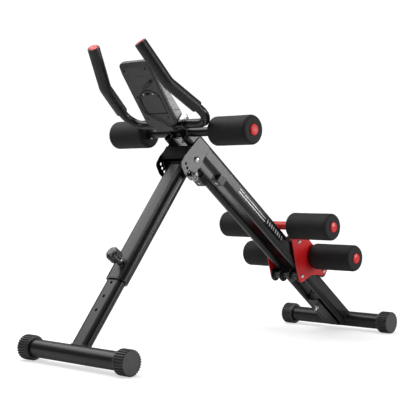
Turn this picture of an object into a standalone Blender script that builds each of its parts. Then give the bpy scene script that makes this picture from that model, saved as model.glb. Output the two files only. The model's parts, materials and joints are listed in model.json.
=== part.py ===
"""Folding abdominal crunch machine: a padded knee carriage rolls up and down two sloping rails.

Metres, +Z up. X runs along the machine, from the front foot (-X) to the rear foot (+X).
The machine is symmetric about the plane y = 0; "near" is the -Y side and "far" the +Y side.
"""

import math

import bmesh
import bpy
from mathutils import Matrix, Vector

# Driving dimensions
FOOT_SPACING = 1.0985
FOOT_RADIUS = 0.0335
FOOT_TUBE_RADIUS = 0.024
FOOT_CAP_LENGTH = 0.040
FRONT_FOOT_WIDTH = 0.4128
REAR_FOOT_WIDTH = 0.4194
RAIL_TILT = math.radians(38.2)
RAIL_HEIGHT = 0.050
RAIL_WIDTH = 0.025
RAIL_Y = 0.034
RAIL_TOP_END = 0.929
WALL = 0.0018
GAP = 0.0004
SIDES = (("near", -1), ("far", 1))

# Places on the rails: distance up the rail from the rear foot's axis, and height above its centre line
TOP_ROLLER = (0.9200, 0.0091)
PIVOT = (0.8681, -0.0447)
UPPER_STOP = (0.7385, 0.7645)
STOP_WALL = (0.2018, 0.2058)
TONGUE_END = 0.143
AXLES = {"upper": (0.3696, 0.0368), "rear": (0.2153, 0.0368), "lower": (0.2936, -0.0368)}
CARRIAGE_ROLLERS = {"upper": (0.4280, 0.0543), "lower": (0.2806, 0.0472)}

# Rollers
FOAM_RADIUS = 0.040
FOAM_ROUND = 0.009
ROLLER_TUBE_RADIUS = 0.0125
TOP_FOAM = (0.1280, 0.2643)
CARRIAGE_FOAM = (0.0580, 0.2109)
CAP_RADIUS = 0.0155
CAP_HEIGHT = 0.005

# Carriage
CARRIAGE_PLATE_Y = (0.0525, 0.0555)
WHEEL_TREAD = 0.0114
WHEEL_FLANGE = 0.0205
WHEEL_NECK = 0.0090
WHEEL_INNER = 0.0168
WHEEL_OUTER = 0.0512
AXLE_RADIUS = 0.004

# Front leg, measured down from the pivot
LEG_TUBE = (0.060, 0.030)
LEG_SLEEVE = (0.071, 0.041)
SLEEVE_TOP = 0.024
SLEEVE_END = 0.4087
TUBE_ENGAGED = 0.425
PIN_DISTANCE = 0.3607
FIRST_HOLE = 0.4228
HOLE_PITCH = 0.043
PIN_RADIUS = 0.004
KNOB_RADIUS = 0.019

# Hinge
HINGE_PLATE_Y = (0.0469, 0.0499)
PIVOT_RADIUS = 0.005
LOCK_CIRCLE = 0.0446
LOCK_DEGREES = 246.0
LOCK_ANGLE = math.radians(LOCK_DEGREES)
LOCK_STEP = math.radians(16.6)
LOCK_RADIUS = 0.0039
LOCK_TIP = -0.0385
BRACKET_Y = (0.0415, 0.0445)

# Handlebar corners, as (x from the front foot, y, z), and grip sizes
HANDLE_CORNERS = ((0.1364, 0.0909, 0.8312), (0.2061, 0.1222, 0.7292), (0.3430, 0.1630, 0.6310))
HANDLE_TUBE_RADIUS = 0.0125
GRIP_RADIUS = 0.017
GRIP_BEND = 0.045
GRIP_LENGTH = 0.232
HANDLE_BEND = 0.047

# Console
CONSOLE_TOP = (0.1890, 0.7872)
CONSOLE_TILT = math.radians(54.7)
CONSOLE_SIZE = (0.2000, 0.1160)
CONSOLE_BACK_DEPTH = 0.0100
CONSOLE_FRONT_TOP = 0.0185
CONSOLE_SLOPE = 0.108
CONSOLE_SHOULDER = 0.014
CONSOLE_SCREWS = (0.0210, 0.1050, 0.1720)
CONSOLE_CORNER = 0.016
CONSOLE_WALL = 0.0022
DOOR_X = (0.0870, 0.1575)
DOOR_Y = (-0.0440, 0.0300)

FRONT_X = -FOOT_SPACING / 2
REAR_X = FOOT_SPACING / 2
UP_RAIL = Vector((-math.cos(RAIL_TILT), 0, math.sin(RAIL_TILT)))
OFF_RAIL = Vector((math.sin(RAIL_TILT), 0, math.cos(RAIL_TILT)))
REAR_FOOT = Vector((REAR_X, 0, FOOT_RADIUS))
FRONT_FOOT = Vector((FRONT_X, 0, FOOT_RADIUS))


def on_rail(along, off, y=0.0):
    """World point at a distance up the rail, a height above its centre line and a sideways place."""
    return REAR_FOOT + UP_RAIL * along + OFF_RAIL * off + Vector((0, y, 0))


PIVOT_POINT = on_rail(*PIVOT)
HANDLE_OFFSET = Vector((FRONT_X + HANDLE_CORNERS[-1][0], 0, HANDLE_CORNERS[-1][2])) - REAR_FOOT
HANDLE_AXIS = (HANDLE_OFFSET.dot(UP_RAIL), HANDLE_OFFSET.dot(OFF_RAIL))
DOWN_LEG = (FRONT_FOOT - PIVOT_POINT).normalized()
LEG_FRONT = Vector((DOWN_LEG.z, 0, -DOWN_LEG.x))
LEG_LENGTH = (FRONT_FOOT - PIVOT_POINT).length


def on_leg(down, out=0.0, y=0.0):
    """World point at a distance down the leg from the pivot, out from its front face, and sideways."""
    return PIVOT_POINT + DOWN_LEG * down + LEG_FRONT * out + Vector((0, y, 0))


def clear_scene():
    for obj in list(bpy.data.objects):
        bpy.data.objects.remove(obj, do_unlink=True)


def material(name, colour, roughness, metallic=0.0):
    made = bpy.data.materials.new(name)
    made.use_nodes = True
    shader = made.node_tree.nodes["Principled BSDF"]
    shader.inputs["Base Color"].default_value = (*colour, 1.0)
    shader.inputs["Roughness"].default_value = roughness
    shader.inputs["Metallic"].default_value = metallic
    return made


def make_materials():
    return {
        "black_paint": material("black_paint", (0.015, 0.015, 0.017), 0.25),
        "red_paint": material("red_paint", (0.72, 0.015, 0.012), 0.25),
        "black_foam": material("black_foam", (0.020, 0.020, 0.022), 0.90),
        "black_rubber": material("black_rubber", (0.018, 0.018, 0.019), 0.70),
        "black_plastic": material("black_plastic", (0.022, 0.022, 0.024), 0.45),
        "grey_plastic": material("grey_plastic", (0.060, 0.060, 0.064), 0.50),
        "red_plastic": material("red_plastic", (0.75, 0.020, 0.015), 0.35),
        "steel": material("steel", (0.62, 0.62, 0.64), 0.28, 1.0),
        "screen": material("screen", (0.120, 0.140, 0.120), 0.10),
        "board": material("board", (0.020, 0.120, 0.045), 0.50),
    }


MATERIALS = {}


def add_object(name, bm, finish, smooth_angle=35.0):
    """Turn a bmesh into a named, shaded object with outward normals."""
    bmesh.ops.recalc_face_normals(bm, faces=bm.faces)
    if bm.calc_volume(signed=True) < 0:
        bmesh.ops.reverse_faces(bm, faces=bm.faces)
    mesh = bpy.data.meshes.new(name)
    bm.to_mesh(mesh)
    bm.free()
    mesh.shade_smooth()
    mesh.set_sharp_from_angle(angle=math.radians(smooth_angle))
    obj = bpy.data.objects.new(name, mesh)
    bpy.context.scene.collection.objects.link(obj)
    obj.data.materials.append(MATERIALS[finish])
    return obj


def set_origin(obj, point):
    """Move an object's origin to a point without moving its shape."""
    obj.data.transform(Matrix.Translation(-point))
    obj.location = point


def frame_at(origin, x_axis, y_axis):
    """Matrix whose local X and Y are the given directions, at an origin."""
    x = Vector(x_axis).normalized()
    z = x.cross(Vector(y_axis)).normalized()
    y = z.cross(x)
    turn = Matrix((x, y, z)).transposed().to_4x4()
    return Matrix.Translation(origin) @ turn


def circle(radius, count=24, centre=(0.0, 0.0), start=0.0):
    """Closed loop of 2-D points round a centre."""
    steps = [start + 2 * math.pi * i / count for i in range(count)]
    return [(centre[0] + radius * math.cos(a), centre[1] + radius * math.sin(a)) for a in steps]


def flat_oval(width, height, arc=8):
    """Loop of a flat-oval section: two flats of the width less the height, and two half circles."""
    radius = height / 2
    shift = width / 2 - radius
    loop = []
    for side, first in ((1, -math.pi / 2), (-1, math.pi / 2)):
        for i in range(arc + 1):
            a = first + math.pi * i / arc
            loop.append((side * shift + radius * math.cos(a), radius * math.sin(a)))
    return loop


def filleted(corners, steps=5):
    """Loop through corners given as (x, y, radius), each rounded by an arc of its radius."""
    loop = []
    count = len(corners)
    for i, (x, y, radius) in enumerate(corners):
        here = Vector((x, y))
        back = (Vector(corners[i - 1][:2]) - here).normalized()
        ahead = (Vector(corners[(i + 1) % count][:2]) - here).normalized()
        if radius == 0:
            loop.append((x, y))
            continue
        half = back.angle(ahead) / 2
        reach = radius / math.tan(half)
        centre = here + (back + ahead).normalized() * (radius / math.sin(half))
        first = here + back * reach - centre
        last = here + ahead * reach - centre
        sweep = first.angle_signed(last)
        for k in range(steps + 1):
            turned = first.copy()
            turned.rotate(Matrix.Rotation(-sweep * k / steps, 2))
            loop.append(tuple(centre + turned))
    return loop


def prism(name, outline, depth, place, finish, holes=(), smooth_angle=35.0):
    """Extrude an outline with holes along local Z by a depth, starting at the place's XY plane."""
    bm = bmesh.new()
    edges = []
    for loop in (outline, *holes):
        verts = [bm.verts.new((x, y, 0)) for x, y in loop]
        edges += [bm.edges.new((verts[i - 1], verts[i])) for i in range(len(verts))]
    bmesh.ops.triangle_fill(bm, edges=edges, use_beauty=True, use_dissolve=False)
    made = bmesh.ops.extrude_face_region(bm, geom=list(bm.faces))
    moved = [item for item in made["geom"] if isinstance(item, bmesh.types.BMVert)]
    bmesh.ops.translate(bm, verts=moved, vec=(0, 0, depth))
    bm.transform(place)
    return add_object(name, bm, finish, smooth_angle)


def skin_rings(bm, rings, closed_path=False):
    """Quads between successive rings of vertices; returns nothing, and leaves the ends open."""
    pairs = list(zip(rings, rings[1:]))
    if closed_path:
        pairs.append((rings[-1], rings[0]))
    for low, high in pairs:
        for i in range(len(low)):
            bm.faces.new((low[i - 1], low[i], high[i], high[i - 1]))


def turned(name, profile, place, finish, count=24, smooth_angle=35.0):
    """Turn a profile of (radius, height) points about local Z.

    A profile that starts and ends on the axis is solid; any other is closed into a ring.
    """
    bm = bmesh.new()
    solid = profile[0][0] == 0 and profile[-1][0] == 0
    points = profile[1:-1] if solid else profile
    rings = []
    for radius, height in points:
        rings.append([bm.verts.new((x, y, height)) for x, y in circle(radius, count)])
    skin_rings(bm, rings, closed_path=not solid)
    if solid:
        for ring, height in ((rings[0], profile[0][1]), (rings[-1], profile[-1][1])):
            tip = bm.verts.new((0, 0, height))
            for i in range(count):
                bm.faces.new((tip, ring[i - 1], ring[i]))
    bm.transform(place)
    return add_object(name, bm, finish, smooth_angle)


def along_y(x, z, y=0.0, side=1):
    """Frame for a turned piece whose local Z runs along world +Y or -Y."""
    return Matrix.Translation((x, y, z)) @ Matrix.Rotation(-side * math.pi / 2, 4, "X")


def rounded_path(corners, radii, step):
    """Polyline through 3-D corners whose inner corners are rounded by arcs."""
    points = [Vector(corners[0])]
    for before, here, after, radius in zip(corners, corners[1:], corners[2:], radii):
        here = Vector(here)
        back = (Vector(before) - here).normalized()
        ahead = (Vector(after) - here).normalized()
        half = back.angle(ahead) / 2
        centre = here + (back + ahead).normalized() * (radius / math.sin(half))
        first = here + back * (radius / math.tan(half)) - centre
        axis = back.cross(ahead).normalized()
        sweep = math.pi - 2 * half
        count = max(3, round(radius * sweep / step))
        for k in range(count + 1):
            turned_by = Matrix.Rotation(-sweep * k / count, 3, axis)
            points.append(centre + turned_by @ first)
    points.append(Vector(corners[-1]))
    return points


def path_part(points, start, length):
    """The stretch of a polyline that begins at a distance from its start."""
    cut = []
    walked = 0.0
    for a, b in zip(points, points[1:]):
        span = (b - a).length
        if walked + span > start and not cut:
            cut.append(a.lerp(b, (start - walked) / span))
        if cut and walked + span >= start + length:
            cut.append(a.lerp(b, (start + length - walked) / span))
            return cut
        if cut:
            cut.append(b)
        walked += span
    return cut


def path_frames(points):
    """(point, side, up) along a polyline, with the least twist from one point to the next."""
    frames = []
    side = Vector((0, 0, 1)).cross(points[1] - points[0]).normalized()
    for i, point in enumerate(points):
        before = (point - points[i - 1]).normalized() if i else (points[1] - point).normalized()
        after = (points[i + 1] - point).normalized() if i + 1 < len(points) else before
        tangent = (before + after).normalized()
        side = (side - tangent * side.dot(tangent)).normalized()
        frames.append((point, side, tangent.cross(side)))
    return frames


def swept_ring(name, points, radius, bore, finish, count=16):
    """Pipe of a round ring section along a polyline, open right through."""
    bm = bmesh.new()
    outer = []
    inner = []
    for point, side, up in path_frames(points):
        for rings, size in ((outer, radius), (inner, bore)):
            loop = circle(size, count)
            rings.append([bm.verts.new(point + side * x + up * y) for x, y in loop])
    skin_rings(bm, outer + inner[::-1], closed_path=True)
    return add_object(name, bm, finish)


def cut(target, cutter):
    """Take a cutter's shape out of a target."""
    cutter.hide_render = True
    cutter.display_type = "WIRE"
    modifier = target.modifiers.new("cut_" + cutter.name, "BOOLEAN")
    modifier.operation = "DIFFERENCE"
    modifier.solver = "EXACT"
    modifier.object = cutter


def join(target, piece):
    """Unite a welded or moulded piece with its target, as one body."""
    piece.hide_render = True
    piece.display_type = "WIRE"
    modifier = target.modifiers.new("join_" + piece.name, "BOOLEAN")
    modifier.operation = "UNION"
    modifier.solver = "EXACT"
    modifier.object = piece


def cylinder_between(name, start, end, radius, finish, count=24):
    """Plain round bar between two points."""
    start = Vector(start)
    direction = Vector(end) - start
    place = Matrix.Translation(start) @ direction.to_track_quat("Z", "Y").to_matrix().to_4x4()
    profile = ((0, 0), (radius, 0), (radius, direction.length), (0, direction.length))
    return turned(name, profile, place, finish, count)


def foot_tube(name, centre, width):
    """Round cross tube of a foot, ending inside its two caps."""
    half = width / 2 - 0.006
    place = along_y(centre.x, centre.z, -half)
    rings = (
        (FOOT_TUBE_RADIUS, 0),
        (FOOT_TUBE_RADIUS, 2 * half),
        (FOOT_TUBE_RADIUS - WALL, 2 * half),
        (FOOT_TUBE_RADIUS - WALL, 0),
    )
    return turned(name, rings, place, "black_paint", 24)


def foot_cap(name, centre, width, side):
    """Rubber cap with 20 ribs round it, a smooth rim, and a bore that takes the foot tube."""
    ribs = 20
    valley = FOOT_RADIUS - 0.0022
    bore = FOOT_TUBE_RADIUS + GAP
    rings = (
        (bore, bore, 0.0),
        (FOOT_RADIUS - 0.0030, FOOT_RADIUS - 0.0030, 0.0),
        (FOOT_RADIUS, valley, 0.0060),
        (FOOT_RADIUS, valley, FOOT_CAP_LENGTH - 0.0030),
        (FOOT_RADIUS - 0.0035, FOOT_RADIUS - 0.0045, FOOT_CAP_LENGTH),
    )
    bm = bmesh.new()
    made = []
    for peak, low, height in rings:
        ring = []
        for i in range(2 * ribs):
            # A rib's tip points straight down, so the cap stands on it.
            angle = math.pi * i / ribs - math.pi / 2
            radius = low if i % 2 else peak
            ring.append(bm.verts.new((radius * math.cos(angle), radius * math.sin(angle), height)))
        made.append(ring)
    floor = [bm.verts.new((v.co.x, v.co.y, FOOT_CAP_LENGTH - 0.0055)) for v in made[0]]
    skin_rings(bm, [floor] + made)
    bm.faces.new(floor)
    bm.faces.new(made[-1])
    base = Vector((centre.x, side * (width / 2 - FOOT_CAP_LENGTH), centre.z))
    bm.transform(frame_at(base, (-side, 0, 0), (0, 0, 1)))
    return add_object(name, bm, "black_rubber")


def feet(name, centre, width):
    foot_tube(name + "_foot_tube", centre, width)
    for label, side in SIDES:
        foot_cap(f"{name}_cap_{label}", centre, width, side)


def rail_place(y=0.0):
    """Frame whose local X runs up the rails, local Y off them, and local Z towards +Y."""
    return frame_at(on_rail(0, 0, y), UP_RAIL, OFF_RAIL)


def rail_plate(name, outline, holes, y_range, side, finish):
    """Flat plate drawn in rail coordinates, between two distances from the middle plane."""
    place = rail_place() @ Matrix.Translation((0, 0, side * y_range[0]))
    return prism(name, outline, side * (y_range[1] - y_range[0]), place, finish, holes)


def rails():
    """Two flat-oval rails, notched round the foot tube below and the roller tube above."""
    outer = flat_oval(RAIL_HEIGHT, RAIL_WIDTH)
    inner = flat_oval(RAIL_HEIGHT - 2 * WALL, RAIL_WIDTH - 2 * WALL)
    ends = (REAR_FOOT - Vector((0, 0.1, 0)), REAR_FOOT + Vector((0, 0.1, 0)))
    foot_notch = cylinder_between("foot_notch", *ends, FOOT_TUBE_RADIUS + GAP, "steel", 32)
    reach = 0.06
    saddle = flat_oval(reach, 2 * (ROLLER_TUBE_RADIUS + GAP))
    shift = reach / 2 - ROLLER_TUBE_RADIUS - GAP
    place = rail_place() @ Matrix.Translation((TOP_ROLLER[0] + shift, TOP_ROLLER[1], -0.1))
    top_notch = prism("top_notch", saddle, 0.2, place, "steel")
    for label, side in SIDES:
        place = frame_at(on_rail(0, 0, side * RAIL_Y), OFF_RAIL, (0, 1, 0))
        rail = prism("rail_" + label, outer, RAIL_TOP_END, place, "black_paint", (inner,))
        cut(rail, foot_notch)
        cut(rail, top_notch)
    return foot_notch


def foot_tongue(foot_notch):
    """Channel between the rails that joins them to the rear foot, and the bolt through its web."""
    half = RAIL_Y - RAIL_WIDTH / 2 - GAP
    sheet = 0.003
    low = -0.028
    high = 0.012
    outline = (
        (low, -half),
        (high, -half),
        (high, -half + sheet),
        (low + sheet, -half + sheet),
        (low + sheet, half - sheet),
        (high, half - sheet),
        (high, half),
        (low, half),
    )
    place = frame_at(on_rail(0, 0), OFF_RAIL, (0, 1, 0))
    tongue = prism("foot_tongue", outline, TONGUE_END, place, "black_paint")
    cut(tongue, foot_notch)
    along = 0.110
    hole = cylinder_between("tongue_hole", on_rail(along, -0.04), on_rail(along, 0), 0.0044, "steel")
    cut(tongue, hole)
    window = cylinder_between(
        "flange_hole", on_rail(0.134, 0.004, 0.0), on_rail(0.134, 0.004, 0.03), 0.004, "steel"
    )
    cut(tongue, window)
    place = frame_at(on_rail(along, low + sheet), UP_RAIL, (0, -1, 0))
    bolt = (
        (0, 0.0065),
        (0.0050, 0.0065),
        (0.0070, 0.0050),
        (0.0070, GAP),
        (0.0040, GAP),
        (0.0040, -sheet - GAP),
        (0.0072, -sheet - GAP),
        (0.0072, -sheet - 0.0068),
        (0.0040, -sheet - 0.0072),
        (0.0040, -sheet - 0.0170),
        (0, -sheet - 0.0170),
    )
    turned("foot_bolt", bolt[::-1], place, "steel", 12)


def travel_stops():
    """Clips under the rails that end the upward travel, and the wall the carriage rests on below."""
    bite = RAIL_WIDTH / 2 + GAP
    arc_centre = -(RAIL_HEIGHT / 2 - RAIL_WIDTH / 2)
    arc = [(arc_centre - bite * math.sin(a), bite * math.cos(a)) for a in steps_between(0, math.pi, 8)]
    half = 0.0155
    outline = [(arc_centre, half), *arc, (arc_centre, -half), (-0.0375, -half), (-0.0375, half)]
    for label, side in SIDES:
        place = frame_at(on_rail(UPPER_STOP[0], 0, side * RAIL_Y), OFF_RAIL, (0, 1, 0))
        prism("upper_stop_" + label, outline, UPPER_STOP[1] - UPPER_STOP[0], place, "black_rubber")
    wide = RAIL_Y - RAIL_WIDTH / 2 - GAP
    narrow = WHEEL_INNER - 0.0018
    base = 0.0125
    wall = (
        (-0.004, -wide),
        (base, -wide),
        (base, -narrow),
        (0.0460, -narrow),
        (0.0460, narrow),
        (base, narrow),
        (base, wide),
        (-0.004, wide),
    )
    place = frame_at(on_rail(STOP_WALL[0], 0), OFF_RAIL, (0, 1, 0))
    prism("stop_wall", wall, STOP_WALL[1] - STOP_WALL[0], place, "black_paint")


def steps_between(first, last, count):
    """Evenly spaced values from first to last, both included."""
    return [first + (last - first) * i / count for i in range(count + 1)]


def lock_hole(index):
    """Rail coordinates of a locking hole; hole 3 is the one that holds the pin at rest."""
    angle = LOCK_ANGLE - (3 - index) * LOCK_STEP
    shift = Vector((math.cos(angle), 0, math.sin(angle))) * LOCK_CIRCLE
    return (PIVOT[0] + shift.dot(UP_RAIL), PIVOT[1] + shift.dot(OFF_RAIL))


def hinge_plates():
    """Side plates on the rails that carry the leg's pivot and an arc of locking holes."""
    corners = (
        (0.8960, 0.0122, 0.003),
        (0.9005, -0.0080, 0.004),
        (0.9040, -0.0300, 0.010),
        (0.9105, -0.0660, 0.014),
        (0.9085, -0.0940, 0.014),
        (0.8800, -0.1060, 0.020),
        (0.8430, -0.1050, 0.014),
        (0.8410, -0.0860, 0.010),
        (0.8478, -0.0640, 0.012),
        (0.8440, -0.0520, 0.004),
        (0.8480, -0.0200, 0.030),
        (0.8450, 0.0122, 0.003),
    )
    holes = [circle(PIVOT_RADIUS + GAP, 16, PIVOT)]
    holes += [circle(LOCK_RADIUS + GAP, 12, lock_hole(i)) for i in range(4)]
    plates = {}
    for label, side in SIDES:
        name = "hinge_plate_" + label
        plates[label] = rail_plate(name, filleted(corners, 4), holes, HINGE_PLATE_Y, side, "black_paint")
    join(plates["far"], hinge_web())


def hinge_web():
    """Web between the hinge plates' front edges, its lower edge rolled inwards."""
    front = ((0.9078, -0.0285), (0.9078, -0.0480), (0.9072, -0.0560), (0.9052, -0.0630), (0.9018, -0.0690))
    back = ((0.8995, -0.0676), (0.9024, -0.0620), (0.9043, -0.0554), (0.9048, -0.0480), (0.9048, -0.0285))
    low = -HINGE_PLATE_Y[0] + GAP
    high = HINGE_PLATE_Y[0] + 0.001
    place = rail_place() @ Matrix.Translation((0, 0, low))
    return prism("hinge_web", front + back, high - low, place, "black_paint")


def cross_bolt(name, point, radius, seat, head_radius, head_height, tail):
    """Bolt along Y through two plates, its domed head on the near side and its nut on the far side."""
    place = along_y(point.x, point.z, 0)
    seat += GAP
    profile = (
        (0, -seat - head_height),
        (head_radius * 0.55, -seat - head_height * 0.92),
        (head_radius * 0.90, -seat - head_height * 0.50),
        (head_radius, -seat - head_height * 0.15),
        (head_radius, -seat),
        (radius, -seat),
        (radius, seat),
        (head_radius, seat),
        (head_radius, seat + head_height),
        (radius, seat + head_height),
        (radius, seat + head_height + tail),
        (0, seat + head_height + tail),
    )
    return turned(name, profile, place, "steel", 12)


def hinge_pins():
    """Pivot bolt of the leg, and the locking pin with its pull ring."""
    cross_bolt("pivot_bolt", PIVOT_POINT, PIVOT_RADIUS, HINGE_PLATE_Y[1], 0.0100, 0.0055, 0.002)
    point = on_rail(*lock_hole(3))
    seat = HINGE_PLATE_Y[1] + GAP
    neck = 0.0030
    head_end = seat + 0.0170
    profile = (
        (0, -head_end),
        (0.0052, -head_end),
        (0.0060, -head_end + 0.0015),
        (0.0060, -head_end + 0.0050),
        (neck, -head_end + 0.0055),
        (neck, -seat - 0.0065),
        (0.0075, -seat - 0.0060),
        (0.0075, -seat),
        (LOCK_RADIUS, -seat),
        (LOCK_RADIUS, LOCK_TIP - 0.0020),
        (0.0025, LOCK_TIP),
        (0, LOCK_TIP),
    )
    pin = turned("lock_pin", profile, along_y(point.x, point.z, 0), "steel", 12)
    set_origin(pin, point)
    wire = 0.0013
    radius = 0.0118
    drop = radius - wire - neck - GAP
    centre = point + Vector((0, -seat - 0.0090, -drop))
    ring = [centre + Vector((math.cos(a), 0, math.sin(a))) * radius for a in circle_angles(24)]
    bm = bmesh.new()
    rings = []
    for spot in ring:
        out = (spot - centre).normalized()
        loop = circle(wire, 6)
        rings.append([bm.verts.new(spot + out * x + Vector((0, y, 0))) for x, y in loop])
    skin_rings(bm, rings, closed_path=True)
    add_object("lock_ring", bm, "steel")


def circle_angles(count):
    return [2 * math.pi * i / count for i in range(count)]


def polar(radius, degrees):
    """Point of the hinge's own XZ plane, round the pivot, as an offset (x, z)."""
    angle = math.radians(degrees)
    return (radius * math.cos(angle), radius * math.sin(angle))


def hinge_prism(name, outline, y_low, y_high):
    """Extrude an outline drawn round the pivot in world X and Z."""
    place = frame_at(PIVOT_POINT + Vector((0, y_high, 0)), (1, 0, 0), (0, 0, 1))
    return prism(name, outline, y_high - y_low, place, "black_paint")


def hinge_bracket():
    """Yoke on top of the leg: two cam-shaped cheeks, the hub between them and the leg's seat plate.

    The locking pin lies in front of the near cheek's lobe, which keeps the leg from opening wider.
    """
    edge = BRACKET_Y[1]
    hub = 0.0165
    cam = LOCK_CIRCLE - LOCK_RADIUS - 0.0010
    lobe_start = LOCK_DEGREES + math.degrees((LOCK_RADIUS + GAP) / LOCK_CIRCLE)
    outline = [polar(cam, a) for a in steps_between(180, lobe_start, 10)]
    outline += [polar(0.0530, a) for a in steps_between(lobe_start, lobe_start + 11, 3)]
    outline += [polar(hub, a) for a in steps_between(300, 440, 9)]
    bracket = hinge_prism("hinge_bracket", outline, BRACKET_Y[0], edge)
    join(bracket, hinge_prism("far_cheek", outline, -edge, -BRACKET_Y[0]))
    join(bracket, hinge_prism("hub", circle(0.0105, 20), -edge + 0.001, edge - 0.001))
    depth = 0.0045
    low, high = -0.0190, 0.0200
    seat = ((low, -edge), (high, -edge), (high, edge), (low, edge))
    place = frame_at(on_leg(SLEEVE_TOP - GAP - depth), LEG_FRONT, (0, 1, 0))
    join(bracket, prism("seat_plate", seat, depth, place, "black_paint"))
    cut(bracket, hinge_prism("pivot_bore", circle(PIVOT_RADIUS + GAP, 20), -0.06, 0.06))
    set_origin(bracket, PIVOT_POINT)


def leg_place(down):
    """Frame across the leg: local X sideways, local Y towards the leg's front, local Z down the leg."""
    return frame_at(on_leg(down), (0, -1, 0), LEG_FRONT)


def pin_place(out):
    """Frame on the pull pin's axis: local Z points out of the leg's front face."""
    return frame_at(on_leg(PIN_DISTANCE, out), (0, 1, 0), DOWN_LEG)


def leg():
    """Sleeve, plastic bush and sliding leg tube."""
    wide, thick = LEG_SLEEVE
    wall = 0.0020
    hollow = flat_oval(wide - 2 * wall, thick - 2 * wall)
    length = SLEEVE_END - SLEEVE_TOP
    sleeve = prism(
        "leg_sleeve", flat_oval(wide, thick), length, leg_place(SLEEVE_TOP), "black_paint", (hollow,)
    )
    hole_end = on_leg(PIN_DISTANCE, 0.05)
    pin_hole = cylinder_between("sleeve_hole", on_leg(PIN_DISTANCE), hole_end, 0.0046, "steel", 16)
    cut(sleeve, pin_hole)
    set_origin(sleeve, PIVOT_POINT)
    tube_wide, tube_thick = LEG_TUBE
    slide = 0.0004
    inside = flat_oval(tube_wide + 2 * slide, tube_thick + 2 * slide)
    outside = flat_oval(wide - 2 * wall - 2 * slide, thick - 2 * wall - 2 * slide)
    depth = 0.030
    place = leg_place(SLEEVE_END - depth)
    bush = prism("sleeve_bush", outside, depth + 0.0020, place, "black_plastic", (inside,))
    collar = prism(
        "bush_collar", flat_oval(wide, thick), 0.0026, leg_place(SLEEVE_END + GAP), "black_plastic", (inside,)
    )
    join(bush, collar)
    top = LEG_LENGTH - TUBE_ENGAGED
    bore = flat_oval(tube_wide - 2 * WALL, tube_thick - 2 * WALL)
    length = LEG_LENGTH - 0.004 - top
    tube = prism(
        "leg_tube", flat_oval(tube_wide, tube_thick), length, leg_place(top), "black_paint", (bore,)
    )
    for down in (PIN_DISTANCE, *(FIRST_HOLE + i * HOLE_PITCH for i in range(3))):
        drill = cylinder_between(f"leg_hole_{down:.3f}", on_leg(down), on_leg(down, 0.04), 0.0045, "steel", 12)
        cut(tube, drill)
    ends = (FRONT_FOOT - Vector((0, 0.1, 0)), FRONT_FOOT + Vector((0, 0.1, 0)))
    cut(tube, cylinder_between("front_notch", *ends, FOOT_TUBE_RADIUS + GAP, "steel", 32))


def pull_pin():
    """Spring-loaded pin on the front of the leg: housing, pin, coil spring and fluted knob."""
    face = LEG_SLEEVE[1] / 2 + GAP
    outer, bore, throat = 0.0105, 0.0078, PIN_RADIUS + GAP
    top = face + 0.0200
    housing = (
        (outer, 0),
        (outer, top - face),
        (throat, top - face),
        (throat, top - face - 0.002),
        (bore, top - face - 0.002),
        (bore, 0),
    )
    turned("pin_housing", housing, pin_place(face), "steel", 20)
    tip = LEG_TUBE[1] / 2 + 0.0006
    collar = face + 0.0012
    knob_base = face + 0.0135
    knob_end = 0.0680
    profile = (
        (0, 0),
        (PIN_RADIUS - 0.0010, 0),
        (PIN_RADIUS, 0.0012),
        (PIN_RADIUS, collar - tip),
        (0.0072, collar - tip),
        (0.0072, collar - tip + 0.0015),
        (PIN_RADIUS, collar - tip + 0.0015),
        (PIN_RADIUS, knob_end - 0.012 - tip),
        (0, knob_end - 0.012 - tip),
    )
    turned("pull_pin", profile, pin_place(tip), "steel", 16)
    spring(collar + 0.0030, top - 0.0032)
    knob(knob_base, knob_end, outer + 0.0012)


def spring(low, high):
    """Coil between the pin's collar and the housing's top wall."""
    wire = 0.0006
    mean = 0.0061
    turns = 5
    per_turn = 8
    count = turns * per_turn
    place = pin_place(0)
    points = []
    for i in range(count + 1):
        a = 2 * math.pi * i / per_turn
        height = low + (high - low) * i / count
        points.append(place @ Vector((mean * math.cos(a), mean * math.sin(a), height)))
    bm = bmesh.new()
    rings = []
    for point, side, up in path_frames(points):
        rings.append([bm.verts.new(point + side * x + up * y) for x, y in circle(wire, 4)])
    skin_rings(bm, rings)
    bm.faces.new(rings[0])
    bm.faces.new(rings[-1])
    add_object("pin_spring", bm, "steel")


def knob(base, end, skirt_bore):
    """Fluted round knob with a domed end; its skirt covers the pin housing."""
    flutes = 9
    lobe, dip = KNOB_RADIUS, KNOB_RADIUS - 0.0022
    shaft = PIN_RADIUS + GAP
    pocket = 0.0150
    length = end - base
    rings = (
        (shaft, shaft, length - 0.0115),
        (shaft, shaft, pocket),
        (skirt_bore, skirt_bore, pocket),
        (skirt_bore, skirt_bore, 0),
        (lobe - 0.0040, dip - 0.0030, 0),
        (lobe, dip, 0.0035),
        (lobe, dip, length - 0.0080),
        (lobe - 0.0030, dip - 0.0015, length - 0.0040),
        (lobe - 0.0090, dip - 0.0070, length - 0.0010),
    )
    bm = bmesh.new()
    made = []
    for peak, low, height in rings:
        ring = []
        for i in range(3 * flutes):
            radius = low if i % 3 == 0 else peak
            angle = 2 * math.pi * i / (3 * flutes)
            ring.append(bm.verts.new((radius * math.cos(angle), radius * math.sin(angle), height)))
        made.append(ring)
    skin_rings(bm, made)
    bm.faces.new(made[0])
    bm.faces.new(made[-1])
    bm.transform(pin_place(base))
    add_object("pin_knob", bm, "black_plastic")


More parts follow.
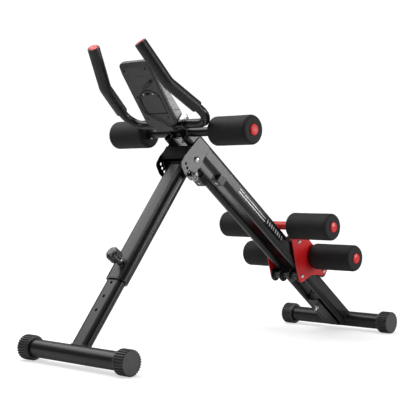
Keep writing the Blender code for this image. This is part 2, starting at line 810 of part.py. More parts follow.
def foam_roller(name, axis_point, y_range, side):
    """Foam sleeve with rounded ends on a roller tube."""
    low, high = y_range
    bore = ROLLER_TUBE_RADIUS + GAP
    profile = [(bore, low), (FOAM_RADIUS - FOAM_ROUND, low)]
    quarter = steps_between(0, math.pi / 2, 2)[1:]
    inner = FOAM_RADIUS - FOAM_ROUND
    profile += [(inner + FOAM_ROUND * math.sin(a), low + FOAM_ROUND * (1 - math.cos(a))) for a in quarter]
    rounded = [(radius, low + high - height) for radius, height in reversed(profile[1:])]
    profile += [*rounded, (bore, high)]
    place = along_y(axis_point.x, axis_point.z, 0, side)
    made = turned(name, profile, place, "black_foam", 20)
    set_origin(made, axis_point)
    return made


def cap_profile(seat, plug):
    """Domed cap outline from its seat outwards, with a plug that enters the tube."""
    top = seat + CAP_HEIGHT
    return [
        (0, seat - plug),
        (ROLLER_TUBE_RADIUS - WALL - GAP, seat - plug),
        (ROLLER_TUBE_RADIUS - WALL - GAP, seat),
        (CAP_RADIUS, seat),
        (CAP_RADIUS, seat + 0.0012),
        (CAP_RADIUS * 0.88, top - 0.0014),
        (CAP_RADIUS * 0.55, top - 0.0003),
        (0, top),
    ]


def top_roller():
    """Elbow roller: a cross tube, two foam sleeves and two end caps."""
    point = on_rail(*TOP_ROLLER)
    end = TOP_FOAM[1]
    ring = (
        (ROLLER_TUBE_RADIUS, -end),
        (ROLLER_TUBE_RADIUS, end),
        (ROLLER_TUBE_RADIUS - WALL, end),
        (ROLLER_TUBE_RADIUS - WALL, -end),
    )
    turned("top_roller_tube", ring, along_y(point.x, point.z), "black_paint")
    for label, side in SIDES:
        foam_roller("top_foam_" + label, point, TOP_FOAM, side)
        profile = cap_profile(end + GAP, 0.012)
        turned("top_cap_" + label, profile, along_y(point.x, point.z, 0, side), "red_plastic", 16)


def carriage_rollers():
    """Leg rollers: each red tube, its two end caps joined to it, carries two foam sleeves."""
    end = CARRIAGE_FOAM[1] + GAP
    bore = ROLLER_TUBE_RADIUS - WALL
    vent = 0.0010
    half = [
        (bore, 0),
        (bore, end - 0.004),
        (vent, end - 0.004),
        (vent, end + CAP_HEIGHT),
        (CAP_RADIUS * 0.55, end + CAP_HEIGHT - 0.0004),
        (CAP_RADIUS * 0.88, end + CAP_HEIGHT - 0.0016),
        (CAP_RADIUS, end + 0.0012),
        (CAP_RADIUS, end),
        (ROLLER_TUBE_RADIUS, end),
    ]
    profile = half + [(radius, -height) for radius, height in reversed(half[1:])]
    for level, spot in CARRIAGE_ROLLERS.items():
        point = on_rail(*spot)
        turned(level + "_roller_tube", profile, along_y(point.x, point.z), "red_paint", 16)
        for label, side in SIDES:
            foam_roller(f"{level}_foam_{label}", point, CARRIAGE_FOAM, side)


def carriage_plates():
    """Red side plates that join the roller tubes and the three wheel axles."""
    corners = (
        (0.4490, 0.0712, 0.016),
        (0.4480, 0.0400, 0.014),
        (0.4006, 0.0203, 0.030),
        (0.2861, -0.0636, 0.0168),
        (0.2580, -0.0080, 0.030),
        (0.2011, 0.0318, 0.012),
        (0.2011, 0.0560, 0.010),
        (0.2560, 0.0712, 0.020),
    )
    holes = [circle(AXLE_RADIUS + GAP, 12, spot) for spot in AXLES.values()]
    holes += [circle(ROLLER_TUBE_RADIUS + 2 * GAP, 16, spot) for spot in CARRIAGE_ROLLERS.values()]
    for label, side in SIDES:
        name = "carriage_plate_" + label
        rail_plate(name, filleted(corners, 4), holes, CARRIAGE_PLATE_Y, side, "red_paint")


def wheel_spools():
    """Three grooved spools, two above the rails and one below, each on its own axle bolt."""
    bore = AXLE_RADIUS + GAP
    rim = 0.0026
    slope = 0.0012
    half = [
        (WHEEL_NECK, 0),
        (WHEEL_NECK, WHEEL_INNER),
        (WHEEL_FLANGE, WHEEL_INNER),
        (WHEEL_FLANGE, WHEEL_INNER + rim),
        (WHEEL_TREAD, WHEEL_INNER + rim + slope),
        (WHEEL_TREAD, WHEEL_OUTER - rim - slope),
        (WHEEL_FLANGE, WHEEL_OUTER - rim),
        (WHEEL_FLANGE, WHEEL_OUTER),
        (bore, WHEEL_OUTER),
    ]
    profile = half + [(radius, -height) for radius, height in reversed(half[1:])]
    for label, spot in AXLES.items():
        point = on_rail(*spot)
        spool = turned("spool_" + label, profile, along_y(point.x, point.z), "black_plastic", 18)
        set_origin(spool, point)
        cross_bolt("axle_" + label, point, AXLE_RADIUS, CARRIAGE_PLATE_Y[1], 0.0066, 0.0045, 0.0015)


def handle_corners():
    """World corners of the handlebar's centre line, from the near grip's end to the far one's."""
    near = [Vector((FRONT_X + x, -y, z)) for x, y, z in HANDLE_CORNERS]
    far = [Vector((p.x, -p.y, p.z)) for p in reversed(near)]
    return near + far


def handlebar():
    """Bent handlebar tube, foam grips and the caps in their ends."""
    path = rounded_path(handle_corners(), (GRIP_BEND, HANDLE_BEND, HANDLE_BEND, GRIP_BEND), 0.0115)
    total = sum((b - a).length for a, b in zip(path, path[1:]))
    inset = 0.0045
    tube = path_part(path, inset, total - 2 * inset)
    swept_ring("handlebar", tube, HANDLE_TUBE_RADIUS, HANDLE_TUBE_RADIUS - WALL, "black_paint", 12)
    for label, points in (("near", path), ("far", path[::-1])):
        sleeve = path_part(points, 0, GRIP_LENGTH)
        swept_ring("grip_" + label, sleeve, GRIP_RADIUS, HANDLE_TUBE_RADIUS + 2 * GAP, "black_foam", 12)
        inward = (points[1] - points[0]).normalized()
        start = points[0] - inward * 0.0010
        end = points[0] + inward * (inset - GAP)
        cylinder_between("grip_cap_" + label, start, end, HANDLE_TUBE_RADIUS, "red_plastic", 16)


def handlebar_bracket():
    """Two gussets that join the handlebar to the roller tube, with a web between them."""
    tube = (HANDLE_AXIS[0], HANDLE_AXIS[1])
    corners = (
        (tube[0] + 0.0165, tube[1] + 0.0165, 0.012),
        (tube[0] + 0.0165, tube[1] - 0.0165, 0.012),
        (TOP_ROLLER[0] - 0.0020, TOP_ROLLER[1] - 0.0165, 0.004),
        (TOP_ROLLER[0] - 0.0165, TOP_ROLLER[1] - 0.0080, 0.006),
        (TOP_ROLLER[0] - 0.0165, TOP_ROLLER[1] + 0.0165, 0.010),
    )
    holes = [circle(HANDLE_TUBE_RADIUS + GAP, 20, tube), circle(ROLLER_TUBE_RADIUS + GAP, 20, TOP_ROLLER)]
    outline = filleted(corners)
    sheet = (0.0150, 0.0180)
    bracket = rail_plate("handlebar_bracket", outline, holes, sheet, 1, "black_paint")
    join(bracket, rail_plate("near_gusset", outline, holes, sheet, -1, "black_paint"))
    low, high = TOP_ROLLER[0] + 0.0160, tube[0] - 0.0160
    web = ((low, -0.0040), (high, -0.0040), (high, 0.0200), (low, 0.0200))
    place = rail_place() @ Matrix.Translation((0, 0, -0.016))
    join(bracket, prism("gusset_web", web, 0.032, place, "black_paint"))


def console_place():
    """Frame of the console: origin at its top, X down its back, Y sideways, Z out of the display."""
    origin = Vector((FRONT_X + CONSOLE_TOP[0], 0, CONSOLE_TOP[1]))
    down = Vector((math.cos(CONSOLE_TILT), 0, -math.sin(CONSOLE_TILT)))
    return frame_at(origin, down, (0, 1, 0))


def box_loop(x0, x1, y0, y1, radius=0.0, steps=4):
    """Rectangle, with round corners if a radius is given."""
    corners = ((x0, y0, radius), (x1, y0, radius), (x1, y1, radius), (x0, y1, radius))
    return filleted(corners, steps)


def door_loop(shrink=0.0):
    """Battery door outline: an arched top and a straight foot."""
    left, right = DOOR_Y[0] + shrink, DOOR_Y[1] - shrink
    top, foot = DOOR_X[0] + shrink, DOOR_X[1] - shrink
    corners = (
        (foot, left, 0.004),
        (top + 0.020, left, 0.020),
        (top, left + 0.026, 0.020),
        (top, right - 0.022, 0.020),
        (top + 0.022, right, 0.016),
        (foot, right, 0.006),
    )
    return filleted(corners, 4)


def lofted(name, rings, place, finish):
    """Closed solid through loops of (x, y, z) points, with a flat cap at each end."""
    bm = bmesh.new()
    made = [[bm.verts.new(point) for point in ring] for ring in rings]
    skin_rings(bm, made)
    bm.faces.new(made[0])
    bm.faces.new(made[-1])
    bm.transform(place)
    return add_object(name, bm, finish, 25.0)


def lift(loop, height, slope=0.0):
    """Loop raised to a height that grows by a slope along X."""
    return [(x, y, height + slope * x) for x, y in loop]


def console_back(place):
    """Back casing: a shallow tray with sloped edges, a neck below it and a saddle on the cross tube."""
    length, width = CONSOLE_SIZE
    half = width / 2
    rim = 0.0035
    panel = box_loop(CONSOLE_SHOULDER, length - rim, -half + rim, half - rim, CONSOLE_CORNER, 4)
    outline = box_loop(0, length, -half, half, CONSOLE_CORNER, 4)
    rings = (lift(panel, 0), lift(outline, 0.0050), lift(outline, CONSOLE_BACK_DEPTH))
    back = lofted("console_back", rings, place, "grey_plastic")
    inset = rim + CONSOLE_WALL
    hollow = box_loop(CONSOLE_SHOULDER + 0.003, length - inset, -half + inset, half - inset, 0.010, 4)
    lifted = place @ Matrix.Translation((0, 0, CONSOLE_WALL))
    cut(back, prism("back_hollow", hollow, 0.03, lifted, "steel"))
    opening = prism("door_opening", door_loop(), 0.03, place @ Matrix.Translation((0, 0, -0.01)), "steel")
    cut(back, opening)
    neck = box_loop(length - 0.004, length + 0.0170, -0.0340, 0.0340, 0.002, 2)
    lifted = place @ Matrix.Translation((0, 0, 0.0012))
    join(back, prism("console_neck", neck, CONSOLE_BACK_DEPTH - 0.0018, lifted, "grey_plastic"))
    low, high = 0.0060, 0.0300
    outline = (
        (length + 0.0020, low),
        (length + 0.0160, low),
        (length + 0.0160, high),
        (length + 0.0020, high),
    )
    turn = place @ Matrix.Translation((0, 0.012, 0)) @ Matrix.Rotation(math.pi / 2, 4, "X")
    join(back, prism("saddle_block", outline, 0.024, turn, "grey_plastic"))
    corner = handle_corners()[2]
    ends = (Vector((corner.x, -0.05, corner.z)), Vector((corner.x, 0.05, corner.z)))
    cut(back, cylinder_between("saddle_bore", *ends, HANDLE_TUBE_RADIUS + GAP, "steel", 24))
    for y in (-0.040, 0.040):
        for x in CONSOLE_SCREWS:
            spot = place @ Matrix.Translation((x, y, -0.01))
            cut(back, prism(f"screw_recess_{x}_{y}", circle(0.0032, 8), 0.0115, spot, "steel"))


def console_front(place):
    """Front casing: a wedge, deeper towards its lower end, with openings for the screen and button."""
    length, width = CONSOLE_SIZE
    half = width / 2
    base = CONSOLE_BACK_DEPTH + GAP
    foot = length - 0.0085
    edge = 0.0030
    outline = box_loop(0, length, -half, half, CONSOLE_CORNER, 4)
    shoulder = box_loop(0, foot, -half, half, CONSOLE_CORNER, 4)
    face = box_loop(edge, foot - edge, -half + edge, half - edge, CONSOLE_CORNER - edge, 4)
    rings = (
        lift(outline, base),
        lift(shoulder, CONSOLE_FRONT_TOP - edge, CONSOLE_SLOPE),
        lift(face, CONSOLE_FRONT_TOP, CONSOLE_SLOPE),
    )
    front = lofted("console_front", rings, place, "black_plastic")
    wall = CONSOLE_WALL
    low = box_loop(wall, length - 2 * wall, -half + wall, half - wall, CONSOLE_CORNER - wall, 4)
    high = box_loop(edge, foot - 2 * edge, -half + edge, half - edge, CONSOLE_CORNER - edge, 4)
    rings = (lift(low, base - 0.001), lift(high, CONSOLE_FRONT_TOP - wall, CONSOLE_SLOPE))
    cut(front, lofted("front_hollow", rings, place, "steel"))
    turn = Matrix.Rotation(-math.atan(CONSOLE_SLOPE), 4, "Y")
    top = place @ Matrix.Translation((0, 0, CONSOLE_FRONT_TOP)) @ turn
    screen = (0.030, 0.092, -0.038, 0.038)
    above = top @ Matrix.Translation((0, 0, -0.006))
    cut(front, prism("screen_opening", box_loop(*screen, 0.004), 0.02, above, "steel"))
    inset = (screen[0] + GAP, screen[1] - GAP, screen[2] + GAP, screen[3] - GAP)
    seat = top @ Matrix.Translation((0, 0, -wall))
    prism("console_screen", box_loop(*inset, 0.0036), wall - 0.0006, seat, "screen")
    spot = (0.138, 0.0)
    cut(front, prism("button_opening", circle(0.0125, 20, spot), 0.02, above, "steel"))
    low = top @ Matrix.Translation((0, 0, -0.0050))
    prism("mode_button", circle(0.0120, 20, spot), 0.0068, low, "red_plastic")


def console():
    """Rep counter: back casing, battery door, circuit board, front casing, screen and button."""
    place = console_place()
    console_back(place)
    prism("battery_door", door_loop(GAP), CONSOLE_WALL, place, "grey_plastic")
    board = box_loop(0.026, 0.084, -0.040, 0.040)
    prism("circuit_board", board, 0.0016, place @ Matrix.Translation((0, 0, 0.0110)), "board")
    console_front(place)


def smooth_curve(points, count):
    """Points read evenly from a Catmull-Rom curve through a route's points."""
    padded = [2 * points[0] - points[1], *points, 2 * points[-1] - points[-2]]
    read = []
    spans = len(points) - 1
    for i in range(count + 1):
        t = min(i * spans / count, spans - 1e-6)
        k = int(t)
        f = t - k
        a, b, c, d = padded[k : k + 4]
        read.append(
            0.5 * (2 * b + (c - a) * f + (2 * a - 5 * b + 4 * c - d) * f**2 + (3 * b - a - 3 * c + d) * f**3)
        )
    return read


# Sensor lead's route on the console's back, as (down, sideways, off the back), then down to the rails
CABLE_ON_CONSOLE = (
    (0.0812, 0.0012, 0.0045),
    (0.0950, 0.0190, 0.0038),
    (0.1120, 0.0345, 0.0036),
    (0.1350, 0.0400, 0.0036),
    (0.1540, 0.0330, 0.0036),
    (0.1700, 0.0120, 0.0036),
    (0.1850, -0.0150, 0.0036),
    (0.1985, -0.0315, 0.0034),
    (0.2075, -0.0390, -0.0030),
    (0.2120, -0.0425, -0.0130),
    (0.2155, -0.0475, -0.0200),
    (0.2165, -0.0540, -0.0207),
    (0.2165, -0.0600, -0.0207),
)
CABLE_ON_FRAME = (
    (0.9480, -0.0190, -0.0590),
    (0.9350, -0.0290, -0.0420),
    (0.9200, -0.0270, -0.0220),
    (0.9080, -0.0150, -0.0125),
    (0.9000, -0.0050, -0.0150),
    (0.8985, -0.0030, -0.0209),
)
CABLE_RADIUS = 0.0014


def sensor_cable():
    """Sensor lead: plug on the console's back, lead, and the tie that holds it on the handlebar."""
    place = console_place()
    route = [place @ Vector((down, y, -off)) for down, y, off in CABLE_ON_CONSOLE]
    route += [on_rail(along, off, y) for along, off, y in CABLE_ON_FRAME]
    data = bpy.data.curves.new("sensor_cable", "CURVE")
    data.dimensions = "3D"
    data.bevel_depth = CABLE_RADIUS
    data.bevel_resolution = 2
    data.use_fill_caps = True
    points = smooth_curve(route, 52)
    spline = data.splines.new("POLY")
    spline.points.add(len(points) - 1)
    for target, point in zip(spline.points, points):
        target.co = (*point, 1.0)
    data.materials.append(MATERIALS["black_rubber"])
    cable = bpy.data.objects.new("sensor_cable", data)
    bpy.context.scene.collection.objects.link(cable)
    back = (points[0] - points[1]).normalized()
    start = points[0] + back * 0.0004
    socket = place @ Vector((0.0570, -0.0430, -0.0045))
    cylinder_between("cable_plug", start, socket, 0.0036, "black_rubber", 12)
    corner = handle_corners()[2]
    down, sideways, off = CABLE_ON_CONSOLE[-2]
    tied = place @ Vector((down, sideways, -off))
    toward = Vector((tied.x - corner.x, 0, tied.z - corner.z)).normalized()
    centre = Vector((corner.x, tied.y, corner.z)) + toward * 0.0020
    bore, outer, width = 0.0150, 0.0162, 0.0045
    ring = ((outer, -width / 2), (outer, width / 2), (bore, width / 2), (bore, -width / 2))
    turned("cable_tie", ring, along_y(centre.x, centre.z, centre.y), "black_plastic", 24)


def main():
    clear_scene()
    MATERIALS.update(make_materials())
    feet("rear", REAR_FOOT, REAR_FOOT_WIDTH)
    feet("front", FRONT_FOOT, FRONT_FOOT_WIDTH)
    foot_notch = rails()
    foot_tongue(foot_notch)
    travel_stops()
    hinge_plates()
    hinge_pins()
    hinge_bracket()
    leg()
    pull_pin()
    top_roller()
    carriage_rollers()
    carriage_plates()
    wheel_spools()
    handlebar()
    handlebar_bracket()
    console()
    sensor_cable()


main()
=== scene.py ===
import json
import math

import bmesh
import bpy
from mathutils import Matrix, Vector, noise

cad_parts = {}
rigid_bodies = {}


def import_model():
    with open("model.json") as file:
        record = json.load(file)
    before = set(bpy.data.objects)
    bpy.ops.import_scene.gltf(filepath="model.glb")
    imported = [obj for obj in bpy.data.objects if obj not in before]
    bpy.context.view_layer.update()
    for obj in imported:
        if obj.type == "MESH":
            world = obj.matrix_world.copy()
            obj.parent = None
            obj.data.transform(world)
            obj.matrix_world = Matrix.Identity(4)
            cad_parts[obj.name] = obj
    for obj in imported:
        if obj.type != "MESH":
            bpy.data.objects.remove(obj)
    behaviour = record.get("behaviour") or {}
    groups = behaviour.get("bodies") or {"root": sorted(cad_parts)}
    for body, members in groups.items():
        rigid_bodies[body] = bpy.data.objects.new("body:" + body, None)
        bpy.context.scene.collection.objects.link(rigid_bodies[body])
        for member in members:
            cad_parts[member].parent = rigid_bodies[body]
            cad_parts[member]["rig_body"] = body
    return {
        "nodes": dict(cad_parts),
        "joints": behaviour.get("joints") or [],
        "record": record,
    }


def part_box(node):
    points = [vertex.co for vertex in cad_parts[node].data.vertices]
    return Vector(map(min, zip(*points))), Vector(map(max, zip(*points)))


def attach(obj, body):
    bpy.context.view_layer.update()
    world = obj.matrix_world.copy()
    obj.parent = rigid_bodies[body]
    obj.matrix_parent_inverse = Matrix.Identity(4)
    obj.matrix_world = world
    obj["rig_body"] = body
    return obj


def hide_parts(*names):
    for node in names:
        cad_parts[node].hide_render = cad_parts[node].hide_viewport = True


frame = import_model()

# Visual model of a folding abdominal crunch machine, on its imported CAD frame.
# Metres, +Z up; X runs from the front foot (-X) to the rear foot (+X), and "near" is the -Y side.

NODES = frame["nodes"]
JOINTS = {joint["name"]: joint for joint in frame["joints"]}
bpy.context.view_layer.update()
SIDES = (("near", -1), ("far", 1))


def middle(node):
    low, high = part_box(node)
    return (low + high) / 2


# Axes and places that the CAD states
UP_RAIL = Vector(JOINTS["carriage_travel"]["axis"])
OFF_RAIL = Vector((UP_RAIL.z, 0, -UP_RAIL.x))
PIVOT = Vector(JOINTS["leg_fold"]["pos_m"])
DOWN_LEG = -Vector(JOINTS["leg_length"]["axis"])
LEG_FRONT = Vector(JOINTS["height_pin_pull"]["axis"])
CONSOLE_OUT = -Vector(JOINTS["battery_cover_off"]["axis"])
CONSOLE_DOWN = Vector((CONSOLE_OUT.z, 0, -CONSOLE_OUT.x))
REAR_FOOT = middle("rear_foot_tube")
FRONT_FOOT = middle("front_foot_tube")
TOP_ROLLER = Vector(JOINTS["top_foam_spin_near"]["pos_m"])
CONSOLE_TOP = Vector((FRONT_FOOT.x + 0.1890, 0, 0.7872))
Y = Vector((0, 1, 0))

# Sizes shared with the CAD
FOOT_RADIUS, FOOT_TUBE_RADIUS, CAP_LENGTH = 0.0335, 0.024, 0.040
RAIL_Y, RAIL_WIDTH, RAIL_HEIGHT = 0.034, 0.025, 0.050
FOAM_RADIUS, TUBE_RADIUS = 0.040, 0.0125
GRIP_RADIUS, GRIP_LENGTH, GRIP_BEND = 0.017, 0.232, 0.045
HANDLE_CORNERS = ((0.1364, 0.0909, 0.8312), (0.2061, 0.1222, 0.7292), (0.3430, 0.1630, 0.6310))
LEG_SLEEVE = (0.071, 0.041)
SLEEVE_FACE = 0.0209
SLEEVE_TOP, PIN_DISTANCE = 0.024, 0.3607
HINGE_PLATE_INNER, HINGE_PLATE_OUTER = 0.0469, 0.0499
CLIP_MIDDLE, CLIP_FOOT = 0.7515, -0.0375
CONSOLE_FRONT_TOP, CONSOLE_SLOPE = 0.0185, 0.108


def on_rail(along, off, y=0.0):
    return REAR_FOOT + UP_RAIL * along + OFF_RAIL * off + Y * y


def on_leg(down, out=0.0, y=0.0):
    return PIVOT + DOWN_LEG * down + LEG_FRONT * out + Y * y


def on_console(down, y, out):
    return CONSOLE_TOP + CONSOLE_DOWN * down + Y * y + CONSOLE_OUT * out


def basis(origin, x_axis, z_axis):
    """Right-handed frame with the given Z, and X as near as it can be to the given one."""
    z = Vector(z_axis).normalized()
    x = Vector(x_axis)
    x = (x - z * x.dot(z)).normalized()
    y = z.cross(x)
    made = Matrix((x, y, z)).transposed().to_4x4()
    made.translation = origin
    return made


# ---------------------------------------------------------------- materials


class Nodes:
    """A material's node tree, built in a few short calls."""

    def __init__(self, name):
        self.material = bpy.data.materials.new(name)
        self.material.use_nodes = True
        self.tree = self.material.node_tree
        self.shader = self.tree.nodes["Principled BSDF"]
        self.place = self.tree.nodes.new("ShaderNodeTexCoord").outputs["Object"]

    def add(self, kind, settings=(), **inputs):
        node = self.tree.nodes.new(kind)
        for key, value in dict(settings).items():
            setattr(node, key, value)
        for key, value in inputs.items():
            self.put(node.inputs[key.replace("_", " ")], value)
        return node

    def put(self, socket, value):
        if isinstance(value, bpy.types.NodeSocket):
            self.tree.links.new(value, socket)
        else:
            socket.default_value = value

    def noise(self, scale, detail=3.0, rough=0.55, vector=None):
        node = self.add("ShaderNodeTexNoise", Scale=scale, Detail=detail, Roughness=rough)
        self.put(node.inputs["Vector"], vector or self.place)
        return node.outputs["Fac"]

    def cells(self, scale, feature="F1"):
        node = self.add("ShaderNodeTexVoronoi", {"feature": feature}, Scale=scale)
        self.put(node.inputs["Vector"], self.place)
        return node.outputs["Distance"]

    def stretched(self, amounts):
        node = self.add("ShaderNodeMapping", Scale=amounts)
        self.put(node.inputs["Vector"], self.place)
        return node.outputs["Vector"]

    def span(self, value, low, high, to_low=0.0, to_high=1.0):
        node = self.add("ShaderNodeMapRange")
        for index, number in enumerate((value, low, high, to_low, to_high)):
            self.put(node.inputs[index], number)
        return node.outputs["Result"]

    def mix(self, factor, first, second):
        node = self.add("ShaderNodeMix", {"data_type": "RGBA"})
        self.put(node.inputs[0], factor)
        self.put(node.inputs[6], first)
        self.put(node.inputs[7], second)
        return node.outputs[2]

    def math(self, operation, first, second):
        node = self.add("ShaderNodeMath", {"operation": operation})
        self.put(node.inputs[0], first)
        self.put(node.inputs[1], second)
        return node.outputs[0]

    def bump(self, height, distance, strength=1.0, under=None):
        node = self.add("ShaderNodeBump", Strength=strength, Distance=distance)
        self.put(node.inputs["Height"], height)
        if under:
            self.put(node.inputs["Normal"], under)
        return node.outputs["Normal"]

    def finish(self, **inputs):
        for key, value in inputs.items():
            self.put(self.shader.inputs[key.replace("_", " ")], value)
        return self.material


def grey(level, alpha=1.0):
    return (level, level, level * 1.03, alpha)


def powder_coat(name, colour, worn, roughness=0.36):
    """Baked powder paint: fine orange peel, a faint larger cloud and a few hairline scratches."""
    n = Nodes(name)
    cloud = n.span(n.noise(9.0, 3.0), 0.35, 0.70)
    scratches = n.span(n.noise(420.0, 2.0, 0.5, n.stretched((1.0, 0.06, 1.0))), 0.72, 0.80)
    base = n.mix(cloud, colour, worn)
    base = n.mix(n.math("MULTIPLY", scratches, 0.10), base, grey(0.10))
    rough = n.span(n.noise(60.0, 3.0), 0.3, 0.7, roughness - 0.02, roughness + 0.03)
    peel = n.bump(n.noise(620.0, 2.0), 0.00012, 0.04)
    normal = n.bump(n.noise(150.0, 1.0), 0.0003, 0.015, peel)
    return n.finish(
        Base_Color=base, Roughness=rough, Normal=normal, Coat_Weight=0.24, Coat_Roughness=0.12, Coat_IOR=1.5,
        Specular_IOR_Level=0.34
    )


def closed_foam(name, dark, light, cell=520.0, depth=0.00045):
    """Closed-cell rubber foam: a fine pitted skin, mottled, with the odd larger pore."""
    n = Nodes(name)
    fine = n.cells(cell)
    pores = n.span(n.cells(cell * 0.36), 0.0, 0.28)
    mottle = n.noise(26.0, 5.0)
    grain = n.noise(cell * 1.9, 2.0)
    tone = n.math("MULTIPLY", n.span(mottle, 0.3, 0.7), n.span(grain, 0.3, 0.7, 0.4, 1.0))
    base = n.mix(tone, dark, light)
    # The larger pores are also painted darker: painted shade in their hollows.
    base = n.mix(n.span(pores, 0.0, 1.0, 0.55, 0.0), base, grey(0.004))
    normal = n.bump(fine, depth, 0.40)
    normal = n.bump(pores, depth * 1.6, 0.25, normal)
    normal = n.bump(mottle, 0.002, 0.06, normal)
    rough = n.span(grain, 0.2, 0.8, 0.62, 0.76)
    return n.finish(Base_Color=base, Roughness=rough, Normal=normal, Specular_IOR_Level=0.36)


def moulded(name, colour, light, roughness, grain=1100.0, depth=0.00016, shine=0.5, coat=0.0):
    """Injection-moulded plastic or rubber with a spark-eroded grain and slight flow marks."""
    n = Nodes(name)
    flow = n.noise(9.0, 3.0, 0.6, n.stretched((1.0, 1.0, 0.35)))
    base = n.mix(n.span(flow, 0.35, 0.68), colour, light)
    fine = n.noise(grain, 2.0)
    rough = n.span(n.noise(90.0, 3.0), 0.3, 0.7, roughness - 0.06, roughness + 0.06)
    normal = n.bump(fine, depth, 0.14)
    return n.finish(
        Base_Color=base, Roughness=rough, Normal=normal, Specular_IOR_Level=shine, Coat_Weight=coat,
        Coat_Roughness=0.08
    )


def plated(name, colour, roughness, brushed=(1.0, 1.0, 1.0)):
    """Zinc or chrome plate: fine turning marks, small stains and slightly uneven gloss."""
    n = Nodes(name)
    stain = n.span(n.noise(55.0, 5.0), 0.45, 0.75)
    marks = n.noise(1500.0, 2.0, 0.5, n.stretched(brushed))
    base = n.mix(n.math("MULTIPLY", stain, 0.45), colour, (0.42, 0.41, 0.40, 1.0))
    streaks = n.span(marks, 0.3, 0.7, roughness - 0.05, roughness + 0.05)
    rough = n.math("ADD", streaks, n.span(stain, 0.0, 1.0, 0.0, 0.14))
    normal = n.bump(marks, 0.00006, 0.25)
    return n.finish(Base_Color=base, Roughness=rough, Normal=normal, Metallic=1.0)


def silver_print():
    """Metallic silver ink with fine flakes, worn through in specks."""
    n = Nodes("silver_print")
    flakes = n.span(n.cells(2600.0), 0.1, 0.5)
    base = n.mix(flakes, (0.88, 0.88, 0.90, 1.0), (0.66, 0.66, 0.68, 1.0))
    worn = n.span(n.noise(340.0, 4.0), 0.66, 0.74)
    base = n.mix(n.math("MULTIPLY", worn, 0.6), base, grey(0.20))
    rough = n.span(n.noise(200.0, 2.0), 0.3, 0.7, 0.34, 0.46)
    return n.finish(Base_Color=base, Roughness=rough, Normal=n.bump(flakes, 0.00003, 0.3), Metallic=0.25)


def display_glass():
    """Clear window seen over a grey-green display, in one coated surface."""
    n = Nodes("display_glass")
    bands = {"wave_type": "BANDS", "bands_direction": "Y"}
    rows = n.add("ShaderNodeTexWave", bands, Scale=900.0, Distortion=0.0)
    n.put(rows.inputs["Vector"], n.place)
    base = n.mix(n.span(n.noise(30.0), 0.3, 0.7), (0.16, 0.19, 0.15, 1.0), (0.20, 0.23, 0.18, 1.0))
    base = n.mix(n.span(rows.outputs["Fac"], 0.0, 1.0, 0.0, 0.12), base, (0.10, 0.12, 0.10, 1.0))
    rough = n.span(n.noise(70.0, 4.0), 0.4, 0.7, 0.22, 0.34)
    return n.finish(
        Base_Color=base, Roughness=rough, Normal=n.bump(n.noise(40.0, 2.0), 0.0002, 0.05), Coat_Weight=1.0,
        Coat_Roughness=0.03
    )


def solder_board():
    """Green board with raised tracks."""
    n = Nodes("solder_board")
    tracks = n.add("ShaderNodeTexBrick", {"offset": 0.5}, Scale=210.0, Mortar_Size=0.035, Bias=0.0)
    n.put(tracks.inputs["Vector"], n.place)
    base = n.mix(n.span(n.noise(120.0), 0.3, 0.7), (0.02, 0.16, 0.06, 1.0), (0.03, 0.22, 0.09, 1.0))
    base = n.mix(n.span(tracks.outputs["Fac"], 0.4, 0.6), base, (0.10, 0.42, 0.16, 1.0))
    normal = n.bump(tracks.outputs["Fac"], 0.0001, 0.4)
    return n.finish(Base_Color=base, Roughness=n.span(n.noise(80.0), 0.3, 0.7, 0.25, 0.4), Normal=normal)


MATERIALS = {
    "black_paint": powder_coat("black_powder_coat", grey(0.0036), grey(0.0052)),
    "red_paint": powder_coat("red_powder_coat", (0.66, 0.010, 0.012, 1.0), (0.60, 0.009, 0.011, 1.0), 0.38),
    "red_plastic": moulded(
        "red_moulding", (0.74, 0.012, 0.014, 1.0), (0.66, 0.010, 0.012, 1.0), 0.46, 300.0, 0.00001, 0.4, 0.06
    ),
    "black_foam": closed_foam("black_foam", grey(0.0030), grey(0.0060)),
    "black_rubber": moulded("black_rubber", grey(0.0110), grey(0.0170), 0.52, 700.0, 0.00015, 0.9),
    "cable_skin": moulded("cable_skin", grey(0.010), grey(0.016), 0.38, 500.0, 0.0001),
    "black_plastic": moulded("black_moulding", grey(0.010), grey(0.017), 0.30, 1100.0, 0.00010, 0.5, 0.25),
    "grey_plastic": moulded("charcoal_moulding", grey(0.034), grey(0.046), 0.46, 1300.0, 0.00018, 0.45),
    "steel": plated("plated_steel", (0.74, 0.74, 0.76, 1.0), 0.22),
    "screen": display_glass(),
    "board": solder_board(),
}
GRIP_FOAM = moulded("grip_foam", grey(0.0035), grey(0.0050), 0.40, 900.0, 0.00004, 0.5)
DULL_ZINC = plated("dull_zinc", (0.22, 0.22, 0.23, 1.0), 0.45)
DULL_PAINT = moulded("dull_black_paint", grey(0.0035), grey(0.0052), 0.62, 700.0, 0.00006, 0.15)
OWN_FINISH = {"lock_pin": DULL_ZINC, "lock_ring": DULL_ZINC, "hinge_plate_far": DULL_PAINT}
SILVER = silver_print()
# Near-black: the own colour of the console's dark screws, latch, marks and display print, and painted shade
# on the door gap strip and speaker port.
DARK = moulded("dark_trim_print_and_painted_gap_shade", grey(0.004), grey(0.007), 0.7, 900.0, 0.0001, 0.2)


# ------------------------------------------------------------- mesh helpers


